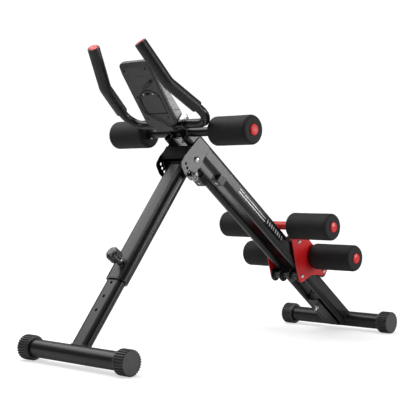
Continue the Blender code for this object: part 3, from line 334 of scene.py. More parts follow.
def edge_shading_group():
    """Geometry nodes that smooth a faceted CAD mesh and keep the edges sharper than 32 degrees."""
    group = bpy.data.node_groups.new("shade_by_angle", "GeometryNodeTree")
    group.interface.new_socket("Geometry", in_out="INPUT", socket_type="NodeSocketGeometry")
    group.interface.new_socket("Geometry", in_out="OUTPUT", socket_type="NodeSocketGeometry")
    start = group.nodes.new("NodeGroupInput")
    end = group.nodes.new("NodeGroupOutput")
    faces = group.nodes.new("GeometryNodeSetShadeSmooth")
    edges = group.nodes.new("GeometryNodeSetShadeSmooth")
    edges.domain = "EDGE"
    angle = group.nodes.new("GeometryNodeInputMeshEdgeAngle")
    flat = group.nodes.new("FunctionNodeCompare")
    flat.operation = "LESS_THAN"
    flat.inputs["B"].default_value = math.radians(32)
    group.links.new(start.outputs[0], faces.inputs["Geometry"])
    group.links.new(faces.outputs[0], edges.inputs["Geometry"])
    group.links.new(angle.outputs["Unsigned Angle"], flat.inputs["A"])
    group.links.new(flat.outputs[0], edges.inputs["Shade Smooth"])
    group.links.new(edges.outputs[0], end.inputs[0])
    return group


SHADE = edge_shading_group()


def soften(obj, width=0.0006):
    """Weld, round the sharp edges a little and smooth the rest."""
    weld = obj.modifiers.new("weld", "WELD")
    weld.merge_threshold = 0.00002
    if width:
        bevel = obj.modifiers.new("bevel", "BEVEL")
        bevel.width = width
        bevel.segments = 2
        bevel.limit_method = "ANGLE"
        bevel.angle_limit = math.radians(38)
        bevel.use_clamp_overlap = True
    shade = obj.modifiers.new("shade", "NODES")
    shade.node_group = SHADE
    weighted = obj.modifiers.new("weighted", "WEIGHTED_NORMAL")
    weighted.keep_sharp = True
    weighted.weight = 90


def piece(name, bm, body, slot, material=None, smooth=True):
    """A new piece that rides on a CAD body, in its slot's material unless another is given."""
    bmesh.ops.recalc_face_normals(bm, faces=bm.faces)
    if bm.calc_volume(signed=True) < 0:
        bmesh.ops.reverse_faces(bm, faces=bm.faces)
    data = bpy.data.meshes.new(name)
    bm.to_mesh(data)
    bm.free()
    data.polygons.foreach_set("use_smooth", [smooth] * len(data.polygons))
    data.materials.append(material or MATERIALS[slot])
    obj = bpy.data.objects.new(name, data)
    bpy.context.scene.collection.objects.link(obj)
    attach(obj, body)
    return obj


def stitch(bm, rings, closed_path=False, caps=False):
    """Faces between rings of vertices, round each ring and from ring to ring."""
    pairs = list(zip(rings, rings[1:]))
    if closed_path:
        pairs.append((rings[-1], rings[0]))
    for low, high in pairs:
        for i in range(len(low)):
            j = (i + 1) % len(low)
            bm.faces.new((low[i], low[j], high[j], high[i]))
    if caps:
        bm.faces.new(rings[0])
        bm.faces.new(rings[-1])


def lathe(profile, place, count=48, ribs=None, closed=False):
    """Surface turned round Z; ribs(radius, height, angle) may move each radius."""
    bm = bmesh.new()
    rings = []
    for radius, height in profile:
        ring = []
        for i in range(count):
            angle = 2 * math.pi * i / count
            r = ribs(radius, height, angle) if ribs else radius
            ring.append(bm.verts.new(place @ Vector((r * math.cos(angle), r * math.sin(angle), height))))
        rings.append(ring)
    stitch(bm, rings, closed_path=closed, caps=not closed)
    return bm


def frames(points, closed=False):
    """Each point with two directions across the path, carried along without twist."""
    count = len(points)
    side = None
    made = []
    for i, point in enumerate(points):
        before = points[i - 1] if i or closed else point
        after = points[(i + 1) % count] if i < count - 1 or closed else point
        along = (after - before).normalized()
        if side is None:
            side = along.cross(Vector((0.31, 0.17, 0.93))).normalized()
        side = (side - along * side.dot(along)).normalized()
        made.append((point, side, along.cross(side)))
    return made


def tube(points, radii, count=16, closed=False, caps=True):
    """Round tube along points; radii is one radius or a list of them."""
    bm = bmesh.new()
    rings = []
    for i, (point, side, up) in enumerate(frames(points, closed)):
        r = radii[i] if isinstance(radii, (list, tuple)) else radii
        ring = []
        for k in range(count):
            a = 2 * math.pi * k / count
            ring.append(bm.verts.new(point + side * (r * math.cos(a)) + up * (r * math.sin(a))))
        rings.append(ring)
    stitch(bm, rings, closed_path=closed, caps=caps and not closed)
    return bm


def bead(name, points, body, slot="black_paint", radius=0.0019, closed=True):
    """Weld bead: a low rope of overlapping puddles along a seam."""
    dense = resample(points, 0.0011, closed)
    radii = []
    for i, point in enumerate(dense):
        ripple = 0.5 + 0.5 * math.cos(2 * math.pi * i * 0.0011 / 0.0034)
        wander = noise.noise(point * 90.0)
        radii.append(radius * (0.86 + 0.16 * ripple + 0.10 * wander))
    return piece(name, tube(dense, radii, 10, closed), body, slot)


def resample(points, step, closed=False):
    """Points spaced evenly along a polyline."""
    loop = list(points) + ([points[0]] if closed else [])
    lengths = [(b - a).length for a, b in zip(loop, loop[1:])]
    total = sum(lengths)
    count = max(8, int(total / step))
    made = []
    index = 0
    passed = 0.0
    for k in range(count if closed else count + 1):
        target = total * k / count
        while index < len(lengths) - 1 and passed + lengths[index] < target:
            passed += lengths[index]
            index += 1
        share = (target - passed) / max(lengths[index], 1e-9)
        made.append(loop[index].lerp(loop[index + 1], min(1.0, share)))
    return made


def rounded_path(corners, bends, step=0.002):
    """Polyline through corners, each inner corner an arc of the given radius."""
    points = [corners[0]]
    for before, corner, after, radius in zip(corners, corners[1:], corners[2:], bends):
        a = (before - corner).normalized()
        b = (after - corner).normalized()
        half = a.angle(b) / 2
        reach = radius / math.tan(half)
        centre = corner + (a + b).normalized() * (radius / math.sin(half))
        start = corner + a * reach - centre
        end = corner + b * reach - centre
        turn = start.angle(end)
        count = max(3, int(radius * turn / step))
        for i in range(count + 1):
            t = i / count
            spread = (start * math.sin((1 - t) * turn) + end * math.sin(t * turn)) / math.sin(turn)
            points.append(centre + spread)
    points.append(corners[-1])
    return points


def slab(outline, place, height, chamfer=0.0):
    """Closed plate over an outline in X and Y; the top edge may be chamfered."""
    cx = sum(x for x, _ in outline) / len(outline)
    cy = sum(y for _, y in outline) / len(outline)
    levels = [(0.0, 1.0), (height - chamfer, 1.0)]
    if chamfer:
        size = max(math.hypot(x - cx, y - cy) for x, y in outline)
        levels.append((height, 1.0 - chamfer / size))
    bm = bmesh.new()
    rings = []
    for z, scale in levels:
        spots = [(cx + (x - cx) * scale, cy + (y - cy) * scale, z) for x, y in outline]
        rings.append([bm.verts.new(place @ Vector(spot)) for spot in spots])
    stitch(bm, rings, caps=True)
    return bm


def pill(length, width, steps=6):
    """Outline of a bar with round ends, along X from 0 to its length."""
    r = width / 2
    made = [(length - r + r * math.sin(a), -r * math.cos(a)) for a in turns(0, math.pi, steps)]
    made += [(r - r * math.sin(a), r * math.cos(a)) for a in turns(0, math.pi, steps)]
    return made


def turns(first, last, count):
    return [first + (last - first) * i / count for i in range(count + 1)]


def flat_oval(wide, thick, steps=10):
    """Outline of a flat-oval tube: two half circles joined by straight sides, widest along X."""
    r = thick / 2
    reach = wide / 2 - r
    made = [(reach + r * math.sin(a), -r * math.cos(a)) for a in turns(0, math.pi, steps)]
    made += [(-reach - r * math.sin(a), r * math.cos(a)) for a in turns(0, math.pi, steps)]
    return made


# ----------------------------------------------------- CAD nodes' materials


def finish_cad_nodes():
    """Give every CAD node its slot's material, rounded edges and smooth shading."""
    wanted = {part["node"]: part["material_slot"] for part in frame["record"]["subparts"]}
    unbevelled = {"pin_spring", "lock_ring", "cable_tie"}
    for name, obj in NODES.items():
        obj.data.materials.clear()
        own = OWN_FINISH.get(name, MATERIALS[wanted[name]])
        obj.data.materials.append(own)
        soften(obj, 0.0 if name in unbevelled else 0.0006)


# --------------------------------------------------------------- soft goods


def foam_profile(length, bore, radius, rounding=0.009):
    """Half section of a foam tube from its inner end to its outer end, then back along the bore."""
    outer = [(bore, 0.0015), (bore + 0.0015, 0.0)]
    outer += [(bore + (radius - rounding - bore) * t, 0.0) for t in (0.25, 0.5, 0.75)]
    arc = turns(0, math.pi / 2, 10)
    outer += [(radius - rounding * (1 - math.sin(a)), rounding * (1 - math.cos(a))) for a in arc]
    rows = int(length / 0.004)
    outer += [(radius, rounding + (length - 2 * rounding) * i / rows) for i in range(1, rows)]
    outer += [(radius - rounding * (1 - math.cos(a)), length - rounding * (1 - math.sin(a))) for a in arc]
    outer += [(bore + (radius - rounding - bore) * t, length) for t in (0.75, 0.5, 0.25)]
    return outer + [(bore + 0.0015, length), (bore, length - 0.0015)]


def foam_roller(name, node, body, seed):
    """Foam roller in place of its CAD solid, slightly uneven as cut foam is."""
    low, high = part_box(node)
    near = low.y < 0
    start = high.y if near else low.y
    length = high.y - low.y
    centre = (low + high) / 2
    place = basis(Vector((centre.x, start, centre.z)), (1, 0, 0), (0, -1 if near else 1, 0))
    bm = lathe(foam_profile(length, TUBE_RADIUS + 0.0005, FOAM_RADIUS), place, 112, closed=True)
    axis = Vector((centre.x, 0, centre.z))
    for vert in bm.verts:
        out = vert.co - axis
        out.y = 0
        if out.length < TUBE_RADIUS + 0.004:
            continue
        spot = vert.co + Vector((seed, seed * 0.7, 0))
        shift = 0.00035 * noise.noise(spot * 38.0) + 0.00013 * noise.noise(spot * 260.0) - 0.0003
        vert.co += out.normalized() * shift
        vert.co.y += 0.00025 * noise.noise(spot * 90.0)
    roller = piece(name, bm, body, "black_foam")
    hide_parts(node)


def foam_rollers():
    seed = 3.0
    for label, _ in SIDES:
        for row in ("top", "upper", "lower"):
            name = f"{row}_roller_foam_{label}"
            foam_roller(name, f"{row}_foam_{label}", f"{row}_foam_roller_{label}", seed)
            seed += 5.3


def handle_path(side):
    corners = [Vector((FRONT_FOOT.x + x, side * y, z)) for x, y, z in HANDLE_CORNERS]
    return rounded_path(corners, (GRIP_BEND,), 0.0015)


def grip(label, side):
    """Foam grip over the handle's bend: lipped ends, a slight crease inside the bend."""
    step = 0.0015
    path = resample(handle_path(side), step)
    path = path[: int(GRIP_LENGTH / step) + 2]
    count = len(path)
    outer = []
    for i in range(count):
        end = min(i, count - 1 - i) * step
        lip = 0.0016 * max(0.0, 1 - end / 0.0022) ** 2
        outer.append(GRIP_RADIUS - lip)
    bm = bmesh.new()
    rings = []
    way = frames(path)
    bend = path[count // 2]
    sides = 44
    angles = [2 * math.pi * k / sides for k in range(sides)]
    for i, (point, across, up) in enumerate(way):
        ring = []
        for a in angles:
            out = across * math.cos(a) + up * math.sin(a)
            rough = 0.00006 * noise.noise((point + out * 0.02) * 60.0) - 0.00018
            near_bend = math.exp(-(((point - bend).length / 0.022) ** 2))
            crease = 0.00035 * near_bend * math.sin(i * 0.9)
            ring.append(bm.verts.new(point + out * (outer[i] + rough - abs(crease))))
        rings.append(ring)
    bore = TUBE_RADIUS + 0.0006
    for point, across, up in reversed(way):
        spots = [point + (across * math.cos(a) + up * math.sin(a)) * bore for a in angles]
        rings.append([bm.verts.new(spot) for spot in spots])
    stitch(bm, rings, closed_path=True)
    made = piece("handle_grip_" + label, bm, "frame", "black_foam", GRIP_FOAM)
    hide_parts("grip_" + label)


# ------------------------------------------------------------ feet and caps


def rib_wave(count, depth, low, high):
    """Radius with flat-crested ribs between two heights, fading in at the lower one."""

    def wave(radius, height, angle):
        valley = FOOT_RADIUS - depth
        if radius <= valley or not low < height < high:
            return radius
        edge = min(1.0, (height - low) / 0.003)
        swing = 0.5 + 0.5 * math.cos(count * angle)
        crest = min(1.0, max(0.0, (swing - 0.42) / 0.30))
        return radius - (radius - valley) * edge * (1 - crest)

    return wave


def foot_cap(name, node):
    """Ribbed rubber cap with a rim by the tube and a flat disc on its end."""
    low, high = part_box(node)
    near = low.y < 0
    start = high.y if near else low.y
    out = -1 if near else 1
    centre = (low + high) / 2
    place = basis(Vector((centre.x, start, centre.z)), (0, 0, -1), (0, out, 0))
    bore = FOOT_TUBE_RADIUS + 0.0004
    r = FOOT_RADIUS
    length = CAP_LENGTH
    profile = [(bore, 0.0015), (bore + 0.0012, 0.0), (r - 0.0042, 0.0)]
    profile += [(r - 0.0034, 0.0010), (r - 0.0034, 0.0040), (r - 0.0008, 0.0052), (r, 0.0062)]
    profile += [(r, 0.0062 + (length - 0.0076) * i / 9) for i in range(1, 10)]
    profile += [(r - 0.0010, length - 0.0003), (r - 0.0018, length), (r - 0.0046, length)]
    disc = length - 0.0006
    profile += [(r - 0.0075, length), (r - 0.0082, disc), (0.012, disc), (0.004, disc)]
    ribs, rib_depth, rib_start = 28, 0.0037, 0.0055
    wave = rib_wave(ribs, rib_depth, rib_start, length + 0.001)
    bm = lathe(profile, place, ribs * 12, wave, closed=False)
    cap = piece(name, bm, body_named(node), "black_rubber")
    soften(cap, 0.0)
    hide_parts(node)


def body_named(node):
    return NODES[node]["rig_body"]


def foot_caps():
    for foot in ("rear", "front"):
        for label, _ in SIDES:
            foot_cap(f"{foot}_foot_cap_{label}", f"{foot}_cap_{label}")


# -------------------------------------------------------------- weld beads


def saddle(outline, foot, away, across, offset):
    """Seam where a tube with this outline lands on a foot tube; away points from the foot up the tube."""
    radius = FOOT_TUBE_RADIUS + 0.0004
    made = []
    for u, w in outline:
        w = max(-radius * 0.98, min(radius * 0.98, w))
        lift = math.sqrt(radius * radius - w * w)
        made.append(foot + Y * (u + offset) + across * w + away * (lift + 0.0004))
    return made


def welds():
    """Weld beads round each seam of the frame, the leg and the carriage."""
    leg_outline = flat_oval(0.0610, 0.0310)
    bead("weld_leg_foot", saddle(leg_outline, FRONT_FOOT, -DOWN_LEG, LEG_FRONT, 0), "lower_leg")
    for label, side in SIDES:
        outline = [(y, x) for x, y in flat_oval(RAIL_HEIGHT * 0.94, RAIL_WIDTH + 0.001)]
        seam = saddle(outline, REAR_FOOT, UP_RAIL, OFF_RAIL, side * RAIL_Y)
        bead("weld_rail_foot_" + label, seam, "frame")
        face = side * (RAIL_Y + RAIL_WIDTH / 2 + 0.0003)
        for end, along in (("low", 0.8450), ("high", 0.8962)):
            ends = [on_rail(along, off, face) for off in (-0.0105, 0.0105)]
            bead(f"weld_hinge_{end}_{label}", ends, "frame", radius=0.0013, closed=False)
        top = [on_rail(along, 0.0132, face) for along in (0.850, 0.892)]
        bead("weld_hinge_top_" + label, top, "frame", radius=0.0013, closed=False)
        gusset = side * 0.0184
        ring_y = [side * 0.0142, gusset]
        for where, centre in (("roller", TOP_ROLLER), ("handle", handle_axis())):
            loop = circle_points(centre, TUBE_RADIUS + 0.0006, ring_y[1], 40)
            bead(f"weld_gusset_{where}_{label}", loop, "frame", radius=0.0014)
    ring = flat_oval(LEG_SLEEVE[0] + 0.0005, LEG_SLEEVE[1] + 0.0005)
    seam = [on_leg(SLEEVE_TOP - 0.0003, w, u) for u, w in ring]
    bead("weld_sleeve_seat", seam, "leg", radius=0.0016)
    housing = 0.0113
    angles = turns(0, 2 * math.pi, 40)[:-1]
    around = [(housing * math.cos(a), housing * math.sin(a)) for a in angles]
    loop = [on_leg(PIN_DISTANCE + down, SLEEVE_FACE, y) for down, y in around]
    bead("weld_pin_housing", loop, "leg", radius=0.0012)
    for row in ("upper", "lower"):
        centre = middle(row + "_roller_tube")
        for label, side in SIDES:
            loop = circle_points(centre, TUBE_RADIUS + 0.0006, side * 0.0560, 40)
            bead(f"weld_{row}_tube_{label}", loop, "carriage", "red_paint", 0.0012)
    web_edge = ((0.9078, -0.0300), (0.9078, -0.0480), (0.9060, -0.0600))
    seam = [on_rail(along, off, 0.0001 - HINGE_PLATE_INNER) for along, off in web_edge]
    bead("weld_hinge_web", seam, "frame", radius=0.0011, closed=False)


def handle_axis():
    x, _, z = HANDLE_CORNERS[-1]
    return Vector((FRONT_FOOT.x + x, 0, z))


def circle_points(centre, radius, y, count):
    made = []
    for i in range(count):
        a = 2 * math.pi * i / count
        made.append(Vector((centre.x + radius * math.cos(a), y, centre.z + radius * math.sin(a))))
    return made


# ---------------------------------------------------------------- fasteners


def hex_nut(name, place, body, across=0.013, height=0.0055):
    """Chamfered hexagon nut with a shallow dimple in its face."""
    inner = across / 2

    def corners(radius, _height, angle):
        flat = inner / math.cos((angle + math.pi / 6) % (math.pi / 3) - math.pi / 6)
        return radius * flat / inner if radius > 0.7 * inner else radius

    profile = [(inner * 0.86, 0.0), (inner, 0.0006), (inner, height - 0.0008), (inner * 0.88, height)]
    profile += [(inner * 0.55, height), (inner * 0.50, height - 0.0005), (0.0004, height - 0.0005)]
    bm = lathe(profile, place, 36, corners)
    return finished(piece(name, bm, body, "steel"))


def finished(obj):
    """The same piece, smoothed by angle but with its edges left as they are."""
    soften(obj, 0.0)
    return obj


def pan_screw(name, place, body, radius=0.0032, height=0.0016, material=None):
    """Pan head screw with a round drive recess."""
    profile = [(radius * 0.96, 0.0), (radius, 0.0003), (radius * 0.94, height * 0.55)]
    profile += [(radius * 0.72, height * 0.90)]
    profile += [(radius * 0.46, height), (radius * 0.42, height * 0.45), (0.0002, height * 0.45)]
    return finished(piece(name, lathe(profile, place, 28), body, "steel", material))


def hinge_hardware():
    """Cap on the far end of the leg's pivot bolt."""
    outer_face = HINGE_PLATE_OUTER + 0.0061
    place = basis(Vector((PIVOT.x, outer_face, PIVOT.z)), (1, 0, 0), (0, 1, 0))
    hex_nut("pivot_nut_cap", place, "leg", 0.0150, 0.0014)


def roller_tube_screws():
    """Grub screws that hold each foam's collar on the top roller tube, beside the foam's inner end."""
    for label, side in SIDES:
        spot = TOP_ROLLER + Vector((0, side * 0.1190, 0))
        down = Vector((-0.25, 0, -0.97)).normalized()
        place = basis(spot + down * (TUBE_RADIUS - 0.0002), (0, 1, 0), down)
        pan_screw("collar_screw_" + label, place, "frame", 0.0040, 0.0030)


def stop_screws():
    """Screws that hold the travel-stop clips, under each rail."""
    for label, side in SIDES:
        spot = on_rail(CLIP_MIDDLE, CLIP_FOOT, side * RAIL_Y)
        pan_screw("stop_screw_" + label, basis(spot, (0, 1, 0), -OFF_RAIL), "frame", 0.0042, 0.0018)


# ------------------------------------------------------------- decoration


def rail_marks():
    """Two silver pin stripes and a row of plain slanted bars on each rail's outer face."""
    ink, ink_edge = 0.00018, 0.00005
    for label, side in SIDES:
        face = side * (RAIL_Y + RAIL_WIDTH / 2 + 0.00005)
        outward = (0, side, 0)
        for row, (off, width) in enumerate(((-0.0046, 0.0028), (0.0040, 0.0020))):
            place = basis(on_rail(0.6735, off, face), -UP_RAIL, outward)
            bm = slab(pill(0.1455, width), place, ink, ink_edge)
            piece(f"stripe_{row}_{label}", bm, "frame", "steel", SILVER, smooth=False)
        for i in range(8):
            along = 0.5175 - i * 0.0115
            width = 0.0060 if i % 3 else 0.0042
            place = basis(on_rail(along, -0.0030, face), -UP_RAIL, outward)
            lean = 0.0032
            sign = 1 if place.to_3x3().col[1].dot(OFF_RAIL) > 0 else -1
            outline = [(0, 0), (width, 0), (width - lean, sign * 0.0112), (-lean, sign * 0.0112)]
            bm = slab(outline, place, ink, ink_edge)
            piece(f"rail_bar_{i}_{label}", bm, "frame", "steel", SILVER, smooth=False)


# ----------------------------------------------------------------- console


def console_details():
    """Screws, moulded marks, painted shade for the door gap and the port, latch and ridge on the console's
    back.
    """
    back = basis(CONSOLE_TOP, CONSOLE_DOWN, -CONSOLE_OUT)
    sign = 1 if back.to_3x3().col[1].y > 0 else -1

    def on_back(down, y, height=0.0):
        return back @ Matrix.Translation((down, sign * y, height))

    for y in (-0.040, 0.040):
        for down in (0.0210, 0.1050, 0.1720):
            name = f"case_screw_{down:.3f}_{'a' if y < 0 else 'b'}"
            pan_screw(name, on_back(down, y, -0.0016), "frame", 0.0029, 0.0012, DARK)
    for i in range(5):
        place = on_back(0.0405 + (0.0016 if i % 2 else 0.0), -0.020 + i * 0.0092, 0.00003)
        width = 0.0030 + 0.0014 * (i % 3)
        outline = [(0, 0), (0.0012, 0), (0.0012, width), (0, width)]
        bm = slab(outline, place, 0.00025, 0.00006)
        piece(f"moulded_mark_{i}", bm, "frame", "grey_plastic", DARK, smooth=False)
    # Painted shade: a thin dark strip marks the gap round the battery door.
    painted_door_gap_shade(on_back)
    # The speaker port is a thin dark patch, painted shade standing in for its opening.
    port_shade_patch = slab(pill(0.0062, 0.0040), on_back(0.066, -0.0225, 0.00003), 0.0003, 0.0001)
    piece("speaker_port_painted_shade", port_shade_patch, "frame", "grey_plastic", DARK, smooth=False)
    latch = [(0, -0.0060), (0.0035, -0.0072), (0.0072, -0.0040)]
    latch += [(0.0072, 0.0040), (0.0035, 0.0072), (0, 0.0060)]
    bm = slab(latch, on_back(0.0925, -0.0050, 0.0002), 0.0016, 0.0006)
    finished(piece("door_latch", bm, "battery_cover", "grey_plastic", DARK))
    for label, y in (("a", -0.0245), ("b", 0.0120)):
        pan_screw("door_screw_" + label, on_back(0.0965, y, 0.0001), "battery_cover", 0.0026, 0.0012)
    crosswise = on_back(0.1500, -0.036, 0.0) @ Matrix.Rotation(math.pi / 2, 4, "Z")
    ridge = slab(pill(0.0600, 0.0014), crosswise, 0.0007, 0.0003)
    finished(piece("door_ridge", ridge, "battery_cover", "grey_plastic"))


def painted_door_gap_shade(on_back):
    """Thin dark strip round the battery door, painted shade standing in for the gap at its edge."""
    top, foot, left, right = 0.0858, 0.1587, -0.0452, 0.0312
    corners = [(foot, left), (top + 0.014, left), (top, left + 0.024), (top, right - 0.020)]
    corners += [(top + 0.016, right), (foot, right), (foot, left)]
    points = [on_back(x, y).to_translation() for x, y in corners]
    bends = (0.012, 0.012, 0.012, 0.010, 0.005)
    step = 0.0015
    path = resample(rounded_path(points, bends, step), step)
    half, rise = 0.0013, 0.0003
    section = ((-half, rise), (-half, -rise), (half, -rise), (half, rise))
    bm = bmesh.new()
    rings = []
    for before, point, after in zip([path[0]] + path, path, path[1:] + [path[-1]]):
        across = (after - before).cross(CONSOLE_OUT).normalized()
        spots = [point + across * reach + CONSOLE_OUT * height for reach, height in section]
        rings.append([bm.verts.new(spot) for spot in spots])
    stitch(bm, rings, caps=True)
    piece("painted_door_gap_shade", bm, "frame", "grey_plastic", DARK, smooth=False)


def display_details():
    """Liquid-crystal digits and a printed frame on the screen, and a ring round the button."""
    out = (CONSOLE_OUT - CONSOLE_DOWN * CONSOLE_SLOPE).normalized()
    down = (CONSOLE_DOWN + CONSOLE_OUT * CONSOLE_SLOPE).normalized()
    face = basis(on_console(0, 0, CONSOLE_FRONT_TOP), down, out)
    sign = 1 if face.to_3x3().col[1].y > 0 else -1
    quarter_turn = Matrix.Rotation(sign * math.pi / 2, 4, "Z")
    behind_window = -0.00052
    edge = 0.00003

    def spot(x, y, height):
        return face @ Matrix.Translation((x, sign * y, height))

    digits = {0: "abcdef", 1: "bc", 2: "abged", 5: "afgcd"}
    length, gap = 0.0088, 0.0005
    bars = {
        "a": (0.0, 0.0, 1), "g": (length, 0.0, 1), "d": (2 * length, 0.0, 1),
        "f": (0.0, 0.0, 0), "b": (0.0, length, 0), "e": (length, 0.0, 0), "c": (length, length, 0),
    }
    for place, value in enumerate((0, 1, 2, 5)):
        y0 = -0.0290 + place * 0.0150 + (0.0040 if place > 1 else 0.0)
        for key in digits[value]:
            x, y, crosswise = bars[key]
            at = spot(0.0480 + x, y0 + y, behind_window)
            if crosswise:
                at = at @ quarter_turn
            bm = slab(pill(length - gap, 0.0017), at, 0.00010, edge)
            piece(f"digit_{place}_{key}", bm, "frame", "screen", DARK, smooth=False)
    for x in (0.0415, 0.0800):
        at = spot(x, -0.033, behind_window) @ quarter_turn
        bm = slab(pill(0.066, 0.0009), at, 0.0001, edge)
        piece(f"screen_line_{x:.4f}", bm, "frame", "screen", DARK, smooth=False)
    ring = [(0.0128, 0.0), (0.0152, 0.0), (0.0150, 0.0007), (0.0141, 0.0011), (0.0131, 0.0007)]
    bm = lathe(ring, spot(0.138, 0.0, 0.0), 56, closed=True)
    finished(piece("button_ring", bm, "frame", "black_plastic"))


# Sensor lead's route: (down, sideways, off the back) on the console, then (along, off, y) to the rails
LEAD_ON_CONSOLE = (
    (0.0812, 0.0012, 0.0045),
    (0.0950, 0.0190, 0.0038),
    (0.1120, 0.0345, 0.0036),
    (0.1350, 0.0400, 0.0036),
    (0.1540, 0.0330, 0.0036),
    (0.1700, 0.0120, 0.0036),
    (0.1850, -0.0150, 0.0036),
    (0.1985, -0.0315, 0.0034),
    (0.2075, -0.0390, -0.0030),
    (0.2120, -0.0425, -0.0130),
    (0.2155, -0.0475, -0.0200),
    (0.2165, -0.0540, -0.0207),
    (0.2165, -0.0600, -0.0207),
)
LEAD_ON_FRAME = (
    (0.9480, -0.0190, -0.0590),
    (0.9350, -0.0290, -0.0420),
    (0.9200, -0.0270, -0.0220),
    (0.9080, -0.0150, -0.0125),
    (0.9000, -0.0050, -0.0150),
    (0.8985, -0.0030, -0.0209),
)
LEAD_RADIUS = 0.0014


def smooth_curve(points, count):
    """Points read evenly from a Catmull-Rom curve through a route's points."""
    padded = [2 * points[0] - points[1], *points, 2 * points[-1] - points[-2]]
    spans = len(points) - 1
    made = []
    for i in range(count + 1):
        t = min(i * spans / count, spans - 1e-6)
        k = int(t)
        f = t - k
        a, b, c, d = padded[k : k + 4]
        square = 2 * a - 5 * b + 4 * c - d
        cube = 3 * b - a - 3 * c + d
        made.append(0.5 * (2 * b + (c - a) * f + square * f**2 + cube * f**3))
    return made


def sensor_lead():
    """The free sensor lead, from its plug on the console's back to the rails."""
    route = [on_console(down, y, -off) for down, y, off in LEAD_ON_CONSOLE]
    route += [on_rail(along, off, y) for along, off, y in LEAD_ON_FRAME]
    points = smooth_curve(route, 180)
    data = bpy.data.curves.new("sensor_lead", "CURVE")
    data.dimensions = "3D"
    data.bevel_depth = LEAD_RADIUS
    data.bevel_resolution = 3
    data.use_fill_caps = True
    spline = data.splines.new("POLY")
    spline.points.add(len(points) - 1)
    for target, point in zip(spline.points, points):
        target.co = (*point, 1.0)
    data.materials.append(MATERIALS["cable_skin"])
    lead = bpy.data.objects.new("sensor_lead", data)
    bpy.context.scene.collection.objects.link(lead)
    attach(lead, "frame")
    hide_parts("sensor_cable")


def cable_details():
    """Head and cut tail of the tie that holds the sensor lead on the handlebar."""
    tie = middle("cable_tie")
    axis = handle_axis()
    toward = Vector((tie.x - axis.x, 0, tie.z - axis.z)).normalized()
    up = Vector((0.35, 0, 0.94)).normalized()
    head = [(-0.0028, -0.0032), (0.0028, -0.0032), (0.0028, 0.0032), (-0.0028, 0.0032)]
    place = basis(Vector((tie.x, tie.y, tie.z)) + up * 0.0161, toward, up)
    finished(piece("tie_head", slab(head, place, 0.0046, 0.0010), "frame", "black_plastic"))
    bend = ((0, 0, 0.0030), (0.004, 0.001, 0.0078), (0.0095, 0.002, 0.0100))
    tail = [place @ Vector(spot) for spot in bend]
    finished(piece("tie_tail", tube(resample(tail, 0.0012), 0.0009, 8), "frame", "black_plastic"))


# --------------------------------------------------------- stage and camera


def floor_material():
    """Pale sheet that glows for the eye, fully towards its far edge, and hardly lights the machine."""
    n = Nodes("floor_sheet")
    pale = (0.62, 0.62, 0.62, 1.0)
    tint = n.mix(n.span(n.noise(3.0, 3.0), 0.3, 0.7), pale, tuple(c * 0.985 for c in pale[:3]) + (1.0,))
    distance = n.add("ShaderNodeVectorMath", {"operation": "LENGTH"})
    n.put(distance.inputs[0], n.place)
    dim = 0.05
    seen_glow = n.span(distance.outputs["Value"], 1.0, 2.4, 0.56, 1.0)
    seen = n.add("ShaderNodeLightPath").outputs["Is Camera Ray"]
    glow = n.math("ADD", n.math("MULTIPLY", seen, n.math("SUBTRACT", seen_glow, dim)), dim)
    return n.finish(
        Base_Color=tint,
        Roughness=0.55,
        Specular_IOR_Level=0.25,
        Emission_Color=(1, 1, 1, 1),
        Emission_Strength=glow,
    )


def stage():
    """Pale floor, a round sheet wide enough to pass out of view."""
    bm = bmesh.new()
    bmesh.ops.create_circle(bm, cap_ends=True, segments=96, radius=9.0)
    data = bpy.data.meshes.new("floor")
    bm.to_mesh(data)
    bm.free()
    data.materials.append(floor_material())
    floor = bpy.data.objects.new("floor", data)
    floor.location = (0, 0, -0.0004)
    bpy.context.scene.collection.objects.link(floor)


def softbox(name, location, target, size, power):
    """Rectangular area lamp aimed at a target."""
    data = bpy.data.lights.new(name, "AREA")
    data.shape = "RECTANGLE"
    data.size, data.size_y = size
    data.energy = power
    lamp = bpy.data.objects.new(name, data)
    lamp.location = location
    lamp.rotation_euler = (Vector(target) - Vector(location)).to_track_quat("-Z", "Y").to_euler()
    bpy.context.scene.collection.objects.link(lamp)


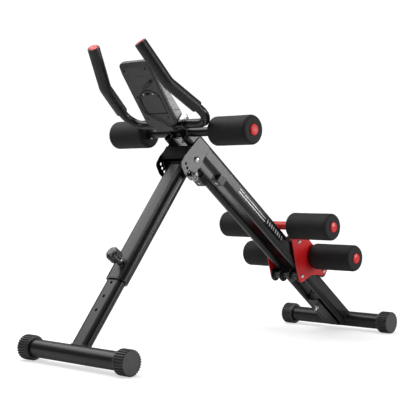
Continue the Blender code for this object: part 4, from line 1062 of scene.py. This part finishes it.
def world_light():
    """White backdrop for the eye; for light, white behind and overhead and dark towards the front."""
    world = bpy.data.worlds.new("studio")
    bpy.context.scene.world = world
    world.use_nodes = True
    tree = world.node_tree
    tree.nodes.clear()
    add = tree.nodes.new
    place = add("ShaderNodeTexCoord")
    dot = add("ShaderNodeVectorMath")
    dot.operation = "DOT_PRODUCT"
    dot.inputs[1].default_value = (0.72, 0.55, 0.42)
    ramp = add("ShaderNodeMapRange")
    for index, value in enumerate((0.0, -0.15, 0.55, 0.02, 0.30)):
        if index:
            ramp.inputs[index].default_value = value
    light = add("ShaderNodeBackground")
    seen = add("ShaderNodeBackground")
    seen.inputs["Color"].default_value = (1, 1, 1, 1)
    seen.inputs["Strength"].default_value = 1.05
    path = add("ShaderNodeLightPath")
    mix = add("ShaderNodeMixShader")
    out = add("ShaderNodeOutputWorld")
    link = tree.links.new
    link(place.outputs["Generated"], dot.inputs[0])
    link(dot.outputs["Value"], ramp.inputs[0])
    link(ramp.outputs["Result"], light.inputs["Strength"])
    link(path.outputs["Is Camera Ray"], mix.inputs[0])
    link(light.outputs[0], mix.inputs[1])
    link(seen.outputs[0], mix.inputs[2])
    link(mix.outputs[0], out.inputs["Surface"])


def lights():
    """Dim surround, a large lamp above and softer ones behind, to the right and to the left."""
    world_light()
    softbox("key_right", (1.60, -1.90, 0.75), (0.15, 0.0, 0.30), (0.9, 0.8), 20)
    softbox("overhead", (-0.25, 0.25, 2.5), (0.0, 0.0, 0.3), (2.4, 1.6), 42)
    softbox("back_high", (-0.68, 1.30, 1.70), (-0.3, 0.0, 0.35), (1.7, 1.3), 17)
    softbox("front_left_fill", (-2.6, 0.6, 1.5), (0.0, 0.0, 0.4), (1.0, 1.6), 14)
    softbox("leg_strip", (0.375, -2.3, 1.2), (-0.3, 0.0, 0.35), (0.5, 1.8), 16)


def camera():
    """Long lens, almost level, towards the machine's near front corner."""
    yaw, pitch = math.radians(46.59), math.radians(-1.23)
    data = bpy.data.cameras.new("camera")
    data.lens = 97.64
    data.sensor_width = 36.0
    data.clip_end = 40.0
    eye = bpy.data.objects.new("camera", data)
    eye.location = (-2.39845, -2.2091, 0.4678)
    look = Vector((math.sin(yaw) * math.cos(pitch), math.cos(yaw) * math.cos(pitch), math.sin(pitch)))
    eye.rotation_euler = look.to_track_quat("-Z", "Y").to_euler()
    bpy.context.scene.collection.objects.link(eye)
    bpy.context.scene.camera = eye


camera()
sensor_lead()
finish_cad_nodes()
foam_rollers()
for side_name, side_sign in SIDES:
    grip(side_name, side_sign)
foot_caps()
welds()
hinge_hardware()
roller_tube_screws()
stop_screws()
rail_marks()
console_details()
display_details()
cable_details()
stage()
lights()
bpy.context.scene.view_settings.view_transform = "Standard"
